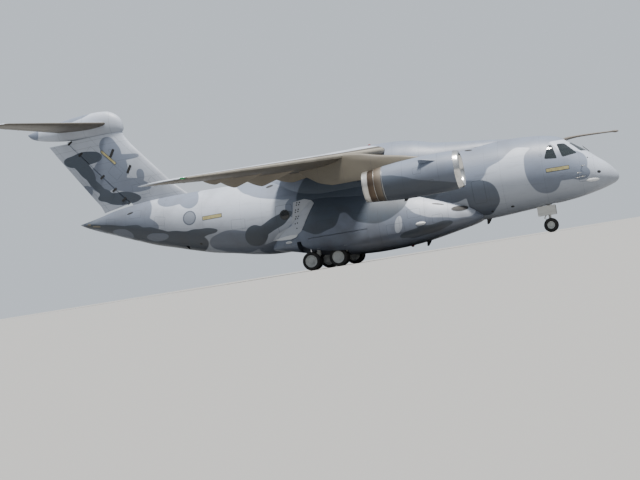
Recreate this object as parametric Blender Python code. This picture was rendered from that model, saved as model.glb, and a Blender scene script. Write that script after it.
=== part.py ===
"""Twin-engined military transport plane with a high wing, a T-tail and a loading ramp.

Stations run aft in metres from the nose tip. +X is forward, +Y the left wing, +Z up,
and the origin lies on the ground under the centre of the whole length and span.
"""
import math

import bmesh
import bpy
from mathutils import Vector

LENGTH = 35.20
PROBE_REACH = 0.35
CENTRE = (LENGTH - PROBE_REACH) / 2
GAP = 0.0005
WALL = 0.14
PIN = 0.018
SIDES = 24

RADOME_END = 1.22
NOSE_END = 6.20
BARREL_END = 20.10
TAIL_END = 29.00

FLOOR_Z = 1.85
RAMP_HINGE = (20.60, 1.35)
RAMP_HALF = 1.48
DOOR_AXIS = (28.84, 3.98)
CREW_AXIS = (1.222, 1.786)
NOSE_DOOR_AXIS = ((1.9519, 1.785), (3.52, 1.605))
NOSE_DOOR_Y = 0.404
DOOR_HINGE = (2.945, 1.784)

ENGINE_Y = 5.20
ENGINE_FRONT = 7.86
ENGINE_Z = 4.06
ENGINE_PITCH = math.radians(1.2)

NOSE_AXLE = (4.05, 0.40)
NOSE_TYRE = (0.40, 0.20, 0.22)
MAIN_TYRE = (0.53, 0.34, 0.33)
MAIN_AXLES = (15.90, 17.50)
MAIN_LEG_Y = 2.02

# Fuselage hoops: station, crown, belly, half width, widest height, lower fullness.
HOOPS = (
    (0.00, 2.53, 2.47, 0.03, 2.50, 2.0),
    (0.06, 2.74, 2.31, 0.24, 2.51, 2.0),
    (0.25, 3.02, 2.17, 0.50, 2.56, 2.0),
    (0.46, 3.27, 2.09, 0.76, 2.62, 2.0),
    (0.95, 3.70, 1.94, 1.10, 2.76, 2.0),
    (1.44, 4.13, 1.83, 1.36, 2.90, 2.0),
    (1.94, 4.52, 1.73, 1.55, 3.00, 2.0),
    (2.44, 4.89, 1.65, 1.69, 3.10, 2.0),
    (2.80, 5.15, 1.61, 1.78, 3.18, 2.0),
    (3.10, 5.27, 1.58, 1.85, 3.24, 2.0),
    (3.60, 5.39, 1.55, 1.94, 3.30, 2.0),
    (4.60, 5.52, 1.47, 2.06, 3.38, 2.0),
    (5.60, 5.57, 1.40, 2.12, 3.42, 2.0),
    (6.60, 5.58, 1.33, 2.15, 3.44, 2.0),
    (7.60, 5.58, 1.30, 2.15, 3.44, 2.0),
    (19.40, 5.58, 1.29, 2.15, 3.44, 2.0),
    (20.10, 5.62, 1.31, 2.15, 3.46, 2.2),
    (21.35, 5.74, 1.47, 2.14, 3.50, 2.5),
    (22.60, 5.82, 1.73, 2.12, 3.60, 2.6),
    (23.80, 5.84, 1.95, 2.06, 3.70, 2.6),
    (25.00, 5.86, 2.27, 1.95, 3.85, 2.6),
    (26.25, 5.86, 2.64, 1.80, 4.05, 2.5),
    (27.50, 5.82, 3.00, 1.58, 4.25, 2.4),
    (28.70, 5.74, 3.44, 1.33, 4.48, 2.3),
    (30.00, 5.58, 3.95, 1.02, 4.72, 2.1),
    (31.20, 5.33, 4.42, 0.68, 4.88, 2.0),
    (31.90, 5.20, 4.72, 0.44, 4.97, 2.0),
    (32.40, 5.12, 4.97, 0.20, 5.05, 2.0),
    (32.54, 5.10, 5.06, 0.05, 5.08, 2.0),
)

# Under-belly and sponson body, with the same columns as the hoops.
BELLY = (
    (7.60, 1.70, 1.38, 1.10, 1.54, 3.0),
    (8.00, 2.35, 1.20, 1.66, 1.65, 3.0),
    (8.40, 2.75, 1.10, 1.98, 1.70, 3.0),
    (9.20, 3.12, 0.95, 2.34, 1.71, 3.0),
    (10.20, 3.60, 0.76, 2.66, 1.68, 3.0),
    (11.40, 4.14, 0.57, 2.88, 1.61, 3.0),
    (12.60, 4.36, 0.47, 2.95, 1.57, 3.0),
    (13.80, 4.64, 0.44, 2.98, 1.53, 3.0),
    (15.00, 4.82, 0.49, 2.97, 1.54, 3.0),
    (16.20, 5.02, 0.62, 2.92, 1.56, 3.0),
    (17.00, 5.12, 0.78, 2.83, 1.60, 3.0),
    (17.50, 4.86, 0.89, 2.72, 1.64, 3.0),
    (18.10, 4.18, 1.04, 2.55, 1.67, 3.0),
    (18.80, 3.45, 1.22, 2.27, 1.67, 3.0),
    (19.40, 2.80, 1.34, 1.92, 1.66, 3.0),
    (19.90, 2.00, 1.44, 1.45, 1.62, 3.0),
)

# Saddle over the wing's centre: station, half width, centre height, top.
SADDLE = (
    (5.60, 0.30, 5.20, 5.57),
    (6.40, 0.72, 4.95, 5.69),
    (7.50, 1.05, 4.75, 5.84),
    (8.60, 1.28, 4.55, 5.98),
    (9.80, 1.52, 4.40, 6.15),
    (10.40, 1.66, 4.32, 6.32),
    (11.10, 1.80, 4.27, 6.50),
    (12.20, 1.92, 4.22, 6.63),
    (14.00, 1.98, 4.20, 6.68),
    (16.20, 1.98, 4.20, 6.63),
    (17.40, 1.90, 4.24, 6.44),
    (18.30, 1.70, 4.30, 6.12),
    (19.00, 1.35, 4.50, 5.82),
    (19.60, 0.90, 4.80, 5.68),
    (20.10, 0.45, 5.20, 5.63),
)

# Flying surfaces: span place, leading edge, trailing edge, height of the leading edge or
# offset, thickness ratio. The wing's chord line falls towards its trailing edge.
WING_FALL = 0.05
WING = (
    (1.70, 12.48, 18.92, 6.11, 0.150),
    (5.50, 14.13, 19.02, 5.85, 0.130),
    (16.30, 18.82, 20.50, 5.09, 0.115),
    (17.00, 19.35, 20.66, 5.04, 0.110),
    (17.40, 19.85, 20.80, 5.01, 0.100),
    (17.525, 20.30, 20.84, 5.00, 0.080),
)
TAILPLANE = (
    (0.00, 29.42, 32.85, 10.98, 0.115),
    (5.90, 33.05, 34.43, 11.13, 0.105),
    (6.20, 33.36, 34.52, 11.14, 0.095),
    (6.32, 33.70, 34.56, 11.14, 0.070),
)
FIN = (
    (5.30, 24.60, 30.72, 0.0, 0.070),
    (5.98, 25.30, 30.98, 0.0, 0.080),
    (6.60, 25.98, 31.42, 0.0, 0.095),
    (9.50, 28.38, 33.40, 0.0, 0.110),
    (10.00, 28.72, 33.72, 0.0, 0.110),
    (10.35, 28.84, 33.95, 0.0, 0.110),
)

# Bullet over the fin: station, top, bottom, half width.
BULLET = (
    (28.72, 10.78, 10.52, 0.05),
    (28.80, 11.10, 10.38, 0.17),
    (29.10, 11.48, 10.30, 0.32),
    (29.70, 11.78, 10.26, 0.44),
    (30.50, 11.84, 10.27, 0.50),
    (31.50, 11.82, 10.33, 0.50),
    (32.50, 11.73, 10.42, 0.44),
    (33.50, 11.61, 10.56, 0.34),
    (34.40, 11.46, 10.76, 0.21),
    (35.00, 11.36, 11.00, 0.11),
    (35.20, 11.31, 11.22, 0.03),
)

# Track fairings under the wing: span place, shares of the chord at their ends, depth of the
# keel below the chord line, half width.
TRACKS = (
    (3.30, 0.27, 0.995, 0.70, 0.26),
    (7.20, 0.27, 0.995, 0.72, 0.26),
    (10.00, 0.27, 0.995, 0.61, 0.24),
    (11.90, 0.33, 0.95, 0.34, 0.09),
)
# Their shape: share of the length, parts of the first and the full depth, part of the width.
TRACK_SHAPE = (
    (0.00, 1.00, 0.00, 0.20),
    (0.20, 0.69, 0.31, 0.70),
    (0.42, 0.35, 0.65, 1.00),
    (0.65, 0.00, 1.00, 1.00),
    (0.71, 0.00, 0.97, 0.98),
    (0.82, 0.00, 0.74, 0.88),
    (0.96, 0.00, 0.32, 0.50),
    (1.00, 0.00, 0.16, 0.20),
)

# Control surfaces: places along the span, share of the chord ahead of the hinge.
AILERON = (12.90, 16.20, 0.742)
ELEVATOR = (0.72, 5.85, 0.68)
FLAP = (2.35, 5.50, 12.75, 0.75)

# Cockpit windows seen from the side: corners as station and height.
SIDE_PANES = (
    ((1.99, 4.07), (2.61, 4.73), (3.03, 4.75), (2.81, 3.95)),
    ((3.08, 3.92), (3.27, 4.73), (3.50, 4.75), (3.78, 4.00)),
)
# The front pane seen from the front: corners as distance off the centre and height.
FRONT_PANE = ((0.05, 4.17), (0.86, 4.17), (0.60, 4.73), (0.05, 4.76))

COLOURS = {
    "light_grey": (0.40, 0.43, 0.50, 0.5, 0.0),
    "mid_grey": (0.20, 0.22, 0.28, 0.5, 0.0),
    "dark_grey": (0.08, 0.10, 0.13, 0.5, 0.0),
    "bay_white": (0.65, 0.66, 0.64, 0.5, 0.0),
    "glass": (0.02, 0.03, 0.03, 0.08, 0.0),
    "metal": (0.45, 0.43, 0.40, 0.35, 0.9),
    "hot_metal": (0.30, 0.22, 0.16, 0.4, 0.9),
    "rubber": (0.02, 0.02, 0.02, 0.8, 0.0),
    "fabric": (0.05, 0.06, 0.07, 0.9, 0.0),
    "tan": (0.38, 0.34, 0.25, 0.5, 0.0),
}


def at(s, y, z):
    """Place of a station, an offset to the left and a height."""
    return Vector((CENTRE - s, y, z))


def clear_scene():
    for obj in list(bpy.data.objects):
        bpy.data.objects.remove(obj, do_unlink=True)


def collection(name):
    made = bpy.data.collections.new(name)
    bpy.context.scene.collection.children.link(made)
    return made


def material(name):
    made = bpy.data.materials.get(name)
    if made:
        return made
    made = bpy.data.materials.new(name)
    made.use_nodes = True
    red, green, blue, rough, metallic = COLOURS[name]
    shader = made.node_tree.nodes["Principled BSDF"]
    shader.inputs["Base Color"].default_value = (red, green, blue, 1.0)
    shader.inputs["Roughness"].default_value = rough
    shader.inputs["Metallic"].default_value = metallic
    return made


def add_loft(bm, rings):
    """Skin a row of rings with equal point counts and close both ends.

    The skin is triangles, so that two lofts on the same rings never cross.
    """
    loops = [[bm.verts.new(p) for p in ring] for ring in rings]
    count = len(loops[0])
    for one, two in zip(loops, loops[1:]):
        for k in range(count):
            n = (k + 1) % count
            bm.faces.new((one[k], one[n], two[n]))
            bm.faces.new((one[k], two[n], two[k]))
    bm.faces.new(loops[0])
    bm.faces.new(list(reversed(loops[-1])))


def add_prism(bm, outline, reach):
    """Sweep an outline of points by half of reach to each side."""
    add_loft(bm, [[p - reach / 2 for p in outline], [p + reach / 2 for p in outline]])


def add_rod(bm, start, end, r0, r1=None, sides=16):
    """Round rod or cone between two points."""
    run = end - start
    made = bmesh.ops.create_cone(bm, cap_ends=True, segments=sides, radius1=r0,
                                 radius2=r0 if r1 is None else r1, depth=run.length)
    turn = run.to_track_quat("Z", "Y").to_matrix()
    for vert in made["verts"]:
        vert.co = turn @ vert.co + (start + end) / 2


def add_turned(bm, profile, origin, axis, sides=32):
    """Turn a closed outline of (reach along the axis, radius) about the axis."""
    axis = axis.normalized()
    side = axis.orthogonal().normalized()
    verts = [bm.verts.new(origin + axis * a + side * r) for a, r in profile]
    edges = [bm.edges.new((verts[k], verts[k - 1])) for k in range(len(verts))]
    on_axis = [k for k, (_, r) in enumerate(profile) if r == 0.0]
    if on_axis:
        bm.edges.remove(bm.edges.get((verts[on_axis[0]], verts[on_axis[-1]])))
        edges = [e for e in edges if e.is_valid]
    bmesh.ops.spin(bm, geom=verts + edges, cent=origin, axis=axis,
                   angle=math.tau, steps=sides, use_merge=True)
    bmesh.ops.remove_doubles(bm, verts=bm.verts, dist=0.00005)


def face_outwards(bm):
    """Point each closed body's faces out of it."""
    bmesh.ops.recalc_face_normals(bm, faces=bm.faces)
    left = set(bm.faces)
    while left:
        body = set()
        grow = [left.pop()]
        while grow:
            face = grow.pop()
            body.add(face)
            near = {other for edge in face.edges for other in edge.link_faces}
            grow += [other for other in near if other in left]
            left -= near
        volume = 0.0
        for face in body:
            first = face.verts[0].co
            for one, two in zip(face.verts[1:], face.verts[2:]):
                volume += first.dot(one.co.cross(two.co))
        if volume < 0:
            bmesh.ops.reverse_faces(bm, faces=list(body))


def finish(bm, name, look, group, pivot=None, flat=False):
    """Turn a bmesh into a named object whose origin is the pivot."""
    face_outwards(bm)
    mesh = bpy.data.meshes.new(name)
    if pivot is not None:
        bmesh.ops.translate(bm, vec=-pivot, verts=bm.verts)
    bm.to_mesh(mesh)
    bm.free()
    if not flat:
        mesh.shade_smooth()
        mesh.set_sharp_from_angle(angle=math.radians(35))
    obj = bpy.data.objects.new(name, mesh)
    if pivot is not None:
        obj.location = pivot
    if look:
        obj.data.materials.append(material(look))
    else:
        obj.hide_render = True
        obj.display_type = "WIRE"
    group.objects.link(obj)
    return obj


def boolean(obj, cutter, operation="DIFFERENCE"):
    mod = obj.modifiers.new(cutter.name[:40], "BOOLEAN")
    mod.operation = operation
    mod.solver = "EXACT"
    mod.object = cutter


def row_at(table, place):
    """Read a table's row at any place, straight between its rows."""
    for low, high in zip(table, table[1:]):
        if place <= high[0]:
            share = (place - low[0]) / (high[0] - low[0])
            return tuple(a + (b - a) * share for a, b in zip(low, high))
    return table[-1]


def hoop(row, grow=0.0):
    """One fuselage section, round above its widest line and fuller below it."""
    s, top, bottom, half, mid, power = row
    points = []
    for k in range(SIDES):
        angle = math.tau * k / SIDES
        c, d = math.cos(angle), math.sin(angle)
        bend = 2.0 if d >= 0 else power
        rise = top + grow - mid if d >= 0 else mid - bottom + grow
        y = (half + grow) * math.copysign(abs(c) ** (2 / bend), c)
        points.append(at(s, y, mid + rise * math.copysign(abs(d) ** (2 / bend), d)))
    return points


def add_body(bm, start, end, grow=0.0):
    """Fuselage length between two stations."""
    rows = [row_at(HOOPS, start)]
    rows += [row for row in HOOPS if start + 0.01 < row[0] < end - 0.01]
    rows.append(row_at(HOOPS, end))
    if end > HOOPS[-1][0]:
        rows[-1] = (end,) + HOOPS[-1][1:]
    add_loft(bm, [hoop(row, grow) for row in rows])


def oval(s, half, top, bottom, mid, power, sides=24):
    points = []
    for k in range(sides):
        angle = math.tau * k / sides
        c, d = math.cos(angle), math.sin(angle)
        y = half * math.copysign(abs(c) ** (2 / power), c)
        rise = top - mid if d >= 0 else mid - bottom
        points.append(at(s, y, mid + rise * math.copysign(abs(d) ** (2 / power), d)))
    return points


FOIL = (0.0, 0.012, 0.06, 0.18, 0.38, 0.62, 0.85, 1.0)


def foil_half(x, ratio):
    """Half thickness of the section at a share of the chord."""
    shape = 0.2969 * math.sqrt(x) - 0.1260 * x - 0.3516 * x ** 2
    shape += 0.2843 * x ** 3 - 0.1015 * x ** 4
    return 5 * ratio * shape + 0.0012


def foil_ring(row, side, upright=False, grow=0.0, fall=0.0):
    place, lead, trail, level, ratio = row
    chord = trail - lead
    points = []
    for sign, shares in ((1, FOIL), (-1, FOIL[:0:-1])):
        for x in shares:
            s = lead + chord * x + grow * (2 * x - 1)
            t = sign * (foil_half(x, ratio) * chord + grow) if x else 0.0
            t -= fall * (s - lead)
            points.append(at(s, t, place) if upright else at(s, side * place, level + t))
    return points


def add_surface(bm, table, side=1, upright=False, grow=0.0, start=None):
    rows = [row for row in table if start is None or row[0] > start]
    if start is not None:
        rows.insert(0, row_at(table, start))
    fall = WING_FALL if table is WING else 0.0
    add_loft(bm, [foil_ring(row, side, upright, grow, fall) for row in rows])


def hinge_line(table, span, share, side):
    """Ends of a hinge line and the half thickness of the surface at each end."""
    ends = []
    fall = WING_FALL if table is WING else 0.0
    for place in span:
        _, lead, trail, level, ratio = row_at(table, place)
        run = (trail - lead) * share
        point = at(lead + run, side * place, level - fall * run)
        ends.append((point, foil_half(share, ratio) * (trail - lead)))
    return ends


def add_aft_block(bm, ends, aft, tall, trim):
    """Block behind a hinge line, shortened by trim at both ends."""
    (p0, _), (p1, _) = ends
    run = (p1 - p0).normalized()
    a, b = p0 + run * trim, p1 - run * trim
    back = Vector((-aft, 0, 0))
    add_prism(bm, [a, b, b + back, a + back], tall)


def moving_surface(name, table, ends, side, parts, cutters, look, upright=False, tall=None):
    """Hinged rear part of a flying surface, round about its hinge line."""
    tall = tall or Vector((0, 0, 1.6))
    bm = bmesh.new()
    add_surface(bm, table, side, upright)
    (p0, r0), (p1, r1) = ends
    obj = finish(bm, name, look, parts, pivot=p0)
    bm = bmesh.new()
    add_aft_block(bm, ends, 3.0, tall, 0.022)
    boolean(obj, finish(bm, name + "_block", None, cutters), "INTERSECT")
    run = (p1 - p0).normalized()
    bm = bmesh.new()
    add_rod(bm, p0 + run * 0.0222, p1 - run * 0.0222, r0 * 0.97, r1 * 0.97, 20)
    boolean(obj, finish(bm, name + "_nose", None, cutters), "UNION")
    bm = bmesh.new()
    add_rod(bm, p0 + run * 0.0006, p1 - run * 0.0006, PIN, sides=8)
    boolean(obj, finish(bm, name + "_pin", None, cutters), "UNION")
    bm = bmesh.new()
    add_aft_block(bm, ends, 3.0, tall, 0.0)
    slot = finish(bm, name + "_slot", None, cutters)
    bm = bmesh.new()
    add_rod(bm, p0, p1, r0 * 1.12 + 0.014, r1 * 1.12 + 0.014, 20)
    return slot, finish(bm, name + "_bed", None, cutters)


def side_outline(points, y=0.0):
    return [at(s, y, z) for s, z in points]


def shrink(points, by):
    """Move an outline's corners towards its middle."""
    n = len(points)
    mid = (sum(p[0] for p in points) / n, sum(p[1] for p in points) / n)
    moved = []
    for p in points:
        reach = math.hypot(p[0] - mid[0], p[1] - mid[1])
        share = 1 - by / reach
        moved.append((mid[0] + (p[0] - mid[0]) * share, mid[1] + (p[1] - mid[1]) * share))
    return moved


def add_panes(bm, inset):
    """Prisms of all six cockpit windows."""
    for side in (1, -1):
        for outline in SIDE_PANES:
            add_prism(bm, side_outline(shrink(outline, inset), side * 1.96),
                      Vector((0, 2.06, 0)))
        outline = [at(2.05, side * y, z) for y, z in shrink(FRONT_PANE, inset)]
        add_prism(bm, outline, Vector((1.6, 0, 0)))


def box(bm, s0, s1, y0, y1, z0, z1):
    """Box between two stations, two offsets and two heights."""
    add_prism(bm, [at(s0, (y0 + y1) / 2, z0), at(s1, (y0 + y1) / 2, z0),
                   at(s1, (y0 + y1) / 2, z1), at(s0, (y0 + y1) / 2, z1)],
              Vector((0, y1 - y0, 0)))


def shell(name, start, end, look, parts, cutters, front=0.0, rear=0.0):
    """Hollow fuselage length, closed at an end where a bulkhead is given."""
    bm = bmesh.new()
    add_body(bm, start + GAP / 2, end - GAP / 2)
    obj = finish(bm, name, look, parts)
    bm = bmesh.new()
    inner = start + front if front else max(start - 0.05, 0.3)
    add_body(bm, inner, end - rear if rear else end + 0.05, -WALL)
    boolean(obj, finish(bm, name + "_inside", None, cutters))
    return obj


def wall_panel(name, start, end, look, parts, cutters, pivot, wall=WALL):
    """Curved panel stock of the fuselage wall, to be trimmed to a door."""
    bm = bmesh.new()
    add_body(bm, start, end)
    obj = finish(bm, name, look, parts, pivot=pivot)
    bm = bmesh.new()
    add_body(bm, start - 0.2, end + 0.2, -wall)
    boolean(obj, finish(bm, name + "_inside", None, cutters))
    return obj


def trimmed(obj, bm, name, cutters, operation="INTERSECT"):
    boolean(obj, finish(bm, name, None, cutters), operation)


def build_fuselage(parts, cutters):
    bm = bmesh.new()
    add_body(bm, 0.0, RADOME_END)
    finish(bm, "radome", "mid_grey", parts)

    nose = shell("nose_shell", RADOME_END, NOSE_END, "light_grey", parts, cutters, front=0.06)
    bm = bmesh.new()
    add_panes(bm, 0.0)
    trimmed(nose, bm, "pane_openings", cutters, "DIFFERENCE")
    bm = bmesh.new()
    box(bm, 4.95, 5.85, 1.0, 3.0, 1.78, 3.62)
    half = [(1.95, 0.466), (3.575, 0.466), (3.575, 0.42), (4.72, 0.42)]
    plan = [at(s, y, 1.65) for s, y in half] + [at(s, -y, 1.65) for s, y in reversed(half)]
    add_prism(bm, plan, Vector((0, 0, 1.3)))
    trimmed(nose, bm, "nose_openings", cutters, "DIFFERENCE")
    bm = bmesh.new()
    add_rod(bm, at(4.95, *CREW_AXIS), at(5.85, *CREW_AXIS), PIN + 0.006)
    trimmed(nose, bm, "crew_door_groove", cutters, "DIFFERENCE")

    bm = bmesh.new()
    add_body(bm, 1.30, 4.5, -0.012)
    glass = finish(bm, "cockpit_glass", "glass", parts)
    bm = bmesh.new()
    add_body(bm, 1.15, 4.6, -0.158)
    trimmed(glass, bm, "glass_inside", cutters, "DIFFERENCE")
    bm = bmesh.new()
    add_body(bm, RADOME_END + 0.06, NOSE_END + 0.05, -WALL - 0.0007)
    belt = finish(bm, "glass_belt", None, cutters)
    bm = bmesh.new()
    box(bm, 1.5, 3.95, -2.4, 2.4, 3.99, 4.90)
    trimmed(belt, bm, "glass_belt_trim", cutters)
    bm = bmesh.new()
    add_panes(bm, 0.006)
    panes = finish(bm, "glass_panes", None, cutters)
    boolean(panes, belt, "UNION")
    boolean(glass, panes, "INTERSECT")

    door = wall_panel("crew_door", 4.85, 5.95, "mid_grey", parts, cutters,
                      at(5.40, *CREW_AXIS))
    bm = bmesh.new()
    box(bm, 4.957, 5.843, 1.05, 2.9, 1.788, 3.612)
    trimmed(door, bm, "crew_door_trim", cutters)
    bm = bmesh.new()
    add_rod(bm, at(4.9506, *CREW_AXIS), at(5.8494, *CREW_AXIS), PIN)
    trimmed(door, bm, "crew_door_pin", cutters, "UNION")

    for side, word in ((1, "left"), (-1, "right")):
        flap = wall_panel("nose_gear_door_" + word, 1.9, 3.62, "light_grey", parts, cutters,
                          at(NOSE_DOOR_AXIS[0][0], side * NOSE_DOOR_Y, NOSE_DOOR_AXIS[0][1]), 0.045)
        bm = bmesh.new()
        box(bm, 1.963, 3.56, *sorted((side * 0.006, side * 0.400)), 1.2, 2.2)
        trimmed(flap, bm, "nose_gear_door_trim_" + word, cutters)
        bm = bmesh.new()
        (s0, z0), (s1, z1) = NOSE_DOOR_AXIS
        add_rod(bm, at(s0, side * NOSE_DOOR_Y, z0), at(s1, side * NOSE_DOOR_Y, z1), 0.010,
                sides=8)
        trimmed(flap, bm, "nose_gear_door_pin_" + word, cutters, "UNION")

    shell("barrel_shell", NOSE_END, BARREL_END, "light_grey", parts, cutters)
    tail = shell("tail_shell", BARREL_END, TAIL_END, "light_grey", parts, cutters, rear=0.05)
    bm = bmesh.new()
    s0, s1, s2 = RAMP_HINGE[0], 25.29, DOOR_AXIS[0]
    plan = [at(s0, RAMP_HALF, 2.4), at(s1, 1.38, 2.4), at(s2, 0.78, 2.4)]
    plan += [at(s2, -0.78, 2.4), at(s1, -1.38, 2.4), at(s0, -RAMP_HALF, 2.4)]
    add_prism(bm, plan, Vector((0, 0, 3.2)))
    trimmed(tail, bm, "ramp_opening", cutters, "DIFFERENCE")

    bm = bmesh.new()
    add_body(bm, 20.3, 26.0)
    ramp = finish(bm, "cargo_ramp", "mid_grey", parts, pivot=at(RAMP_HINGE[0], 0, RAMP_HINGE[1]))
    bm = bmesh.new()
    outline = side_outline([(20.607, 0.6), (25.40, 0.6), (25.27, 2.28), (25.12, 2.52),
                            (24.96, 2.84),
                            (20.607, FLOOR_Z)])
    add_prism(bm, outline, Vector((0, 2.7, 0)))
    for vert in bm.verts:
        share = (CENTRE - vert.co.x - 20.6) / 4.7
        half = RAMP_HALF - 0.012 - 0.10 * share
        vert.co.y = math.copysign(half, vert.co.y)
    trimmed(ramp, bm, "cargo_ramp_trim", cutters)
    bm = bmesh.new()
    box(bm, 20.6008, 20.70, -0.25, 0.25, 1.388, 1.43)
    trimmed(ramp, bm, "cargo_ramp_knuckle", cutters, "UNION")

    upper = wall_panel("cargo_door", 25.0, 28.95, "light_grey", parts, cutters,
                       at(DOOR_AXIS[0], 0.0, DOOR_AXIS[1]))
    bm = bmesh.new()
    plan = [at(25.302, 1.366, 2.5), at(28.832, 0.768, 2.5)]
    plan += [at(28.832, -0.768, 2.5), at(25.302, -1.366, 2.5)]
    add_prism(bm, plan, Vector((0, 0, 3.0)))
    trimmed(upper, bm, "cargo_door_trim", cutters)
    bm = bmesh.new()
    for y in (0.40, -0.40):
        add_prism(bm, side_outline([(28.40, 3.44), (28.70, 3.52), (28.87, 3.96), (28.86, 4.00),
                                    (28.80, 4.01), (28.33, 3.58)], y), Vector((0, 0.05, 0)))
    trimmed(upper, bm, "cargo_door_arms", cutters, "UNION")
    bm = bmesh.new()
    s, z = DOOR_AXIS
    add_rod(bm, at(s, -0.4993, z), at(s, 0.4993, z), PIN, sides=8)
    trimmed(upper, bm, "cargo_door_pin", cutters, "UNION")
    bm = bmesh.new()
    for side in (1, -1):
        box(bm, s - 0.05, s + 0.14, *sorted((side * 0.50, side * 0.55)), z - 0.04, z + 0.04)
    trimmed(tail, bm, "cargo_door_lugs", cutters, "UNION")

    bm = bmesh.new()
    add_body(bm, TAIL_END + GAP / 2, LENGTH)
    for vert in [v for v in bm.verts if v.co.x < CENTRE - 32.6]:
        vert.co.x = CENTRE - 32.54
    finish(bm, "tail_cone", "light_grey", parts)


def build_inside(parts, cutters):
    bm = bmesh.new()
    add_prism(bm, side_outline([(1.60, 2.98), (4.93, 2.98), (4.93, 5.40), (4.87, 5.40),
                                (4.87, 3.04), (2.22, 3.04), (2.36, 3.62), (2.28, 3.98),
                                (1.86, 3.90), (1.80, 3.04), (1.60, 3.04)]),
              Vector((0, 4.4, 0)))
    deck = finish(bm, "cockpit_deck", "dark_grey", parts)
    bm = bmesh.new()
    add_body(bm, RADOME_END + 0.06, NOSE_END + 0.05, -WALL - 0.0007)
    trimmed(deck, bm, "deck_space", cutters)

    bm = bmesh.new()
    for y in (0.52, -0.52):
        add_prism(bm, side_outline([(3.02, 3.01), (3.42, 3.01), (3.42, 3.40), (3.66, 4.45),
                                    (3.54, 4.48), (3.36, 3.66), (2.92, 3.60), (2.92, 3.44),
                                    (3.02, 3.42)], y), Vector((0, 0.48, 0)))
    trimmed(deck, bm, "cockpit_seats", cutters, "UNION")

    bm = bmesh.new()
    box(bm, 5.0, 20.58, -2.2, 2.2, FLOOR_Z - 0.12, FLOOR_Z)
    floor = finish(bm, "cargo_floor", "dark_grey", parts)
    bm = bmesh.new()
    add_body(bm, 4.9, 20.9, -WALL - 0.006)
    trimmed(floor, bm, "floor_space", cutters)
    bm = bmesh.new()
    box(bm, 7.7, 19.3, -0.02, 0.02, 1.4433, FLOOR_Z - 0.06)
    trimmed(floor, bm, "floor_keel", cutters, "UNION")
    bm = bmesh.new()
    box(bm, 4.90, 5.89, 0.915, 2.3, 1.6, 2.0)
    trimmed(floor, bm, "floor_notch", cutters, "DIFFERENCE")


def build_belly(parts, cutters):
    bm = bmesh.new()
    add_body(bm, 6.9, 20.4, 0.001)
    hull = finish(bm, "hull_space", None, cutters)
    pieces = (("belly_fairing", -1.24, 1.24), ("sponson_left", 1.2405, 3.4),
              ("sponson_right", -3.4, -1.2405))
    for name, y0, y1 in pieces:
        bm = bmesh.new()
        add_belly(bm)
        obj = finish(bm, name, "mid_grey", parts)
        boolean(obj, hull)
        bm = bmesh.new()
        box(bm, 7.0, 20.2, y0, y1, 0.0, 4.9)
        trimmed(obj, bm, name + "_space", cutters)
        if name == "belly_fairing":
            continue
        side = 1 if y0 > 0 else -1
        bm = bmesh.new()
        box(bm, 15.28, 18.14, *sorted((side * 1.42, side * 2.62)), 0.2, 1.74)
        trimmed(obj, bm, name + "_wheel_well", cutters, "DIFFERENCE")
        bm = bmesh.new()
        add_prism(bm, side_outline([(13.87, 1.05), (17.43, 1.20), (17.43, 1.833),
                                    (13.87, 1.833)], side * 2.66), Vector((0, 1.28, 0)))
        trimmed(obj, bm, name + "_side_bay", cutters, "DIFFERENCE")

    for side, word in ((1, "left"), (-1, "right")):
        bm = bmesh.new()
        add_belly(bm)
        door = finish(bm, "sponson_door_" + word, "mid_grey", parts,
                      pivot=at(14.5, side * DOOR_HINGE[0], DOOR_HINGE[1]))
        bm = bmesh.new()
        add_belly(bm, -0.07)
        trimmed(door, bm, "sponson_door_inside_" + word, cutters, "DIFFERENCE")
        bm = bmesh.new()
        add_prism(bm, side_outline([(13.878, 1.058), (17.422, 1.208), (17.422, 1.805),
                                    (13.878, 1.805)], side * 2.665), Vector((0, 1.27, 0)))
        trimmed(door, bm, "sponson_door_trim_" + word, cutters)
        bm = bmesh.new()
        y, z = side * DOOR_HINGE[0], DOOR_HINGE[1]
        add_rod(bm, at(13.8707, y, z), at(15.5, y, z), 0.012, sides=8)
        trimmed(door, bm, "sponson_door_pin_" + word, cutters, "UNION")


def add_belly(bm, grow=0.0):
    add_loft(bm, [hoop(row, grow) for row in BELLY])


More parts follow.
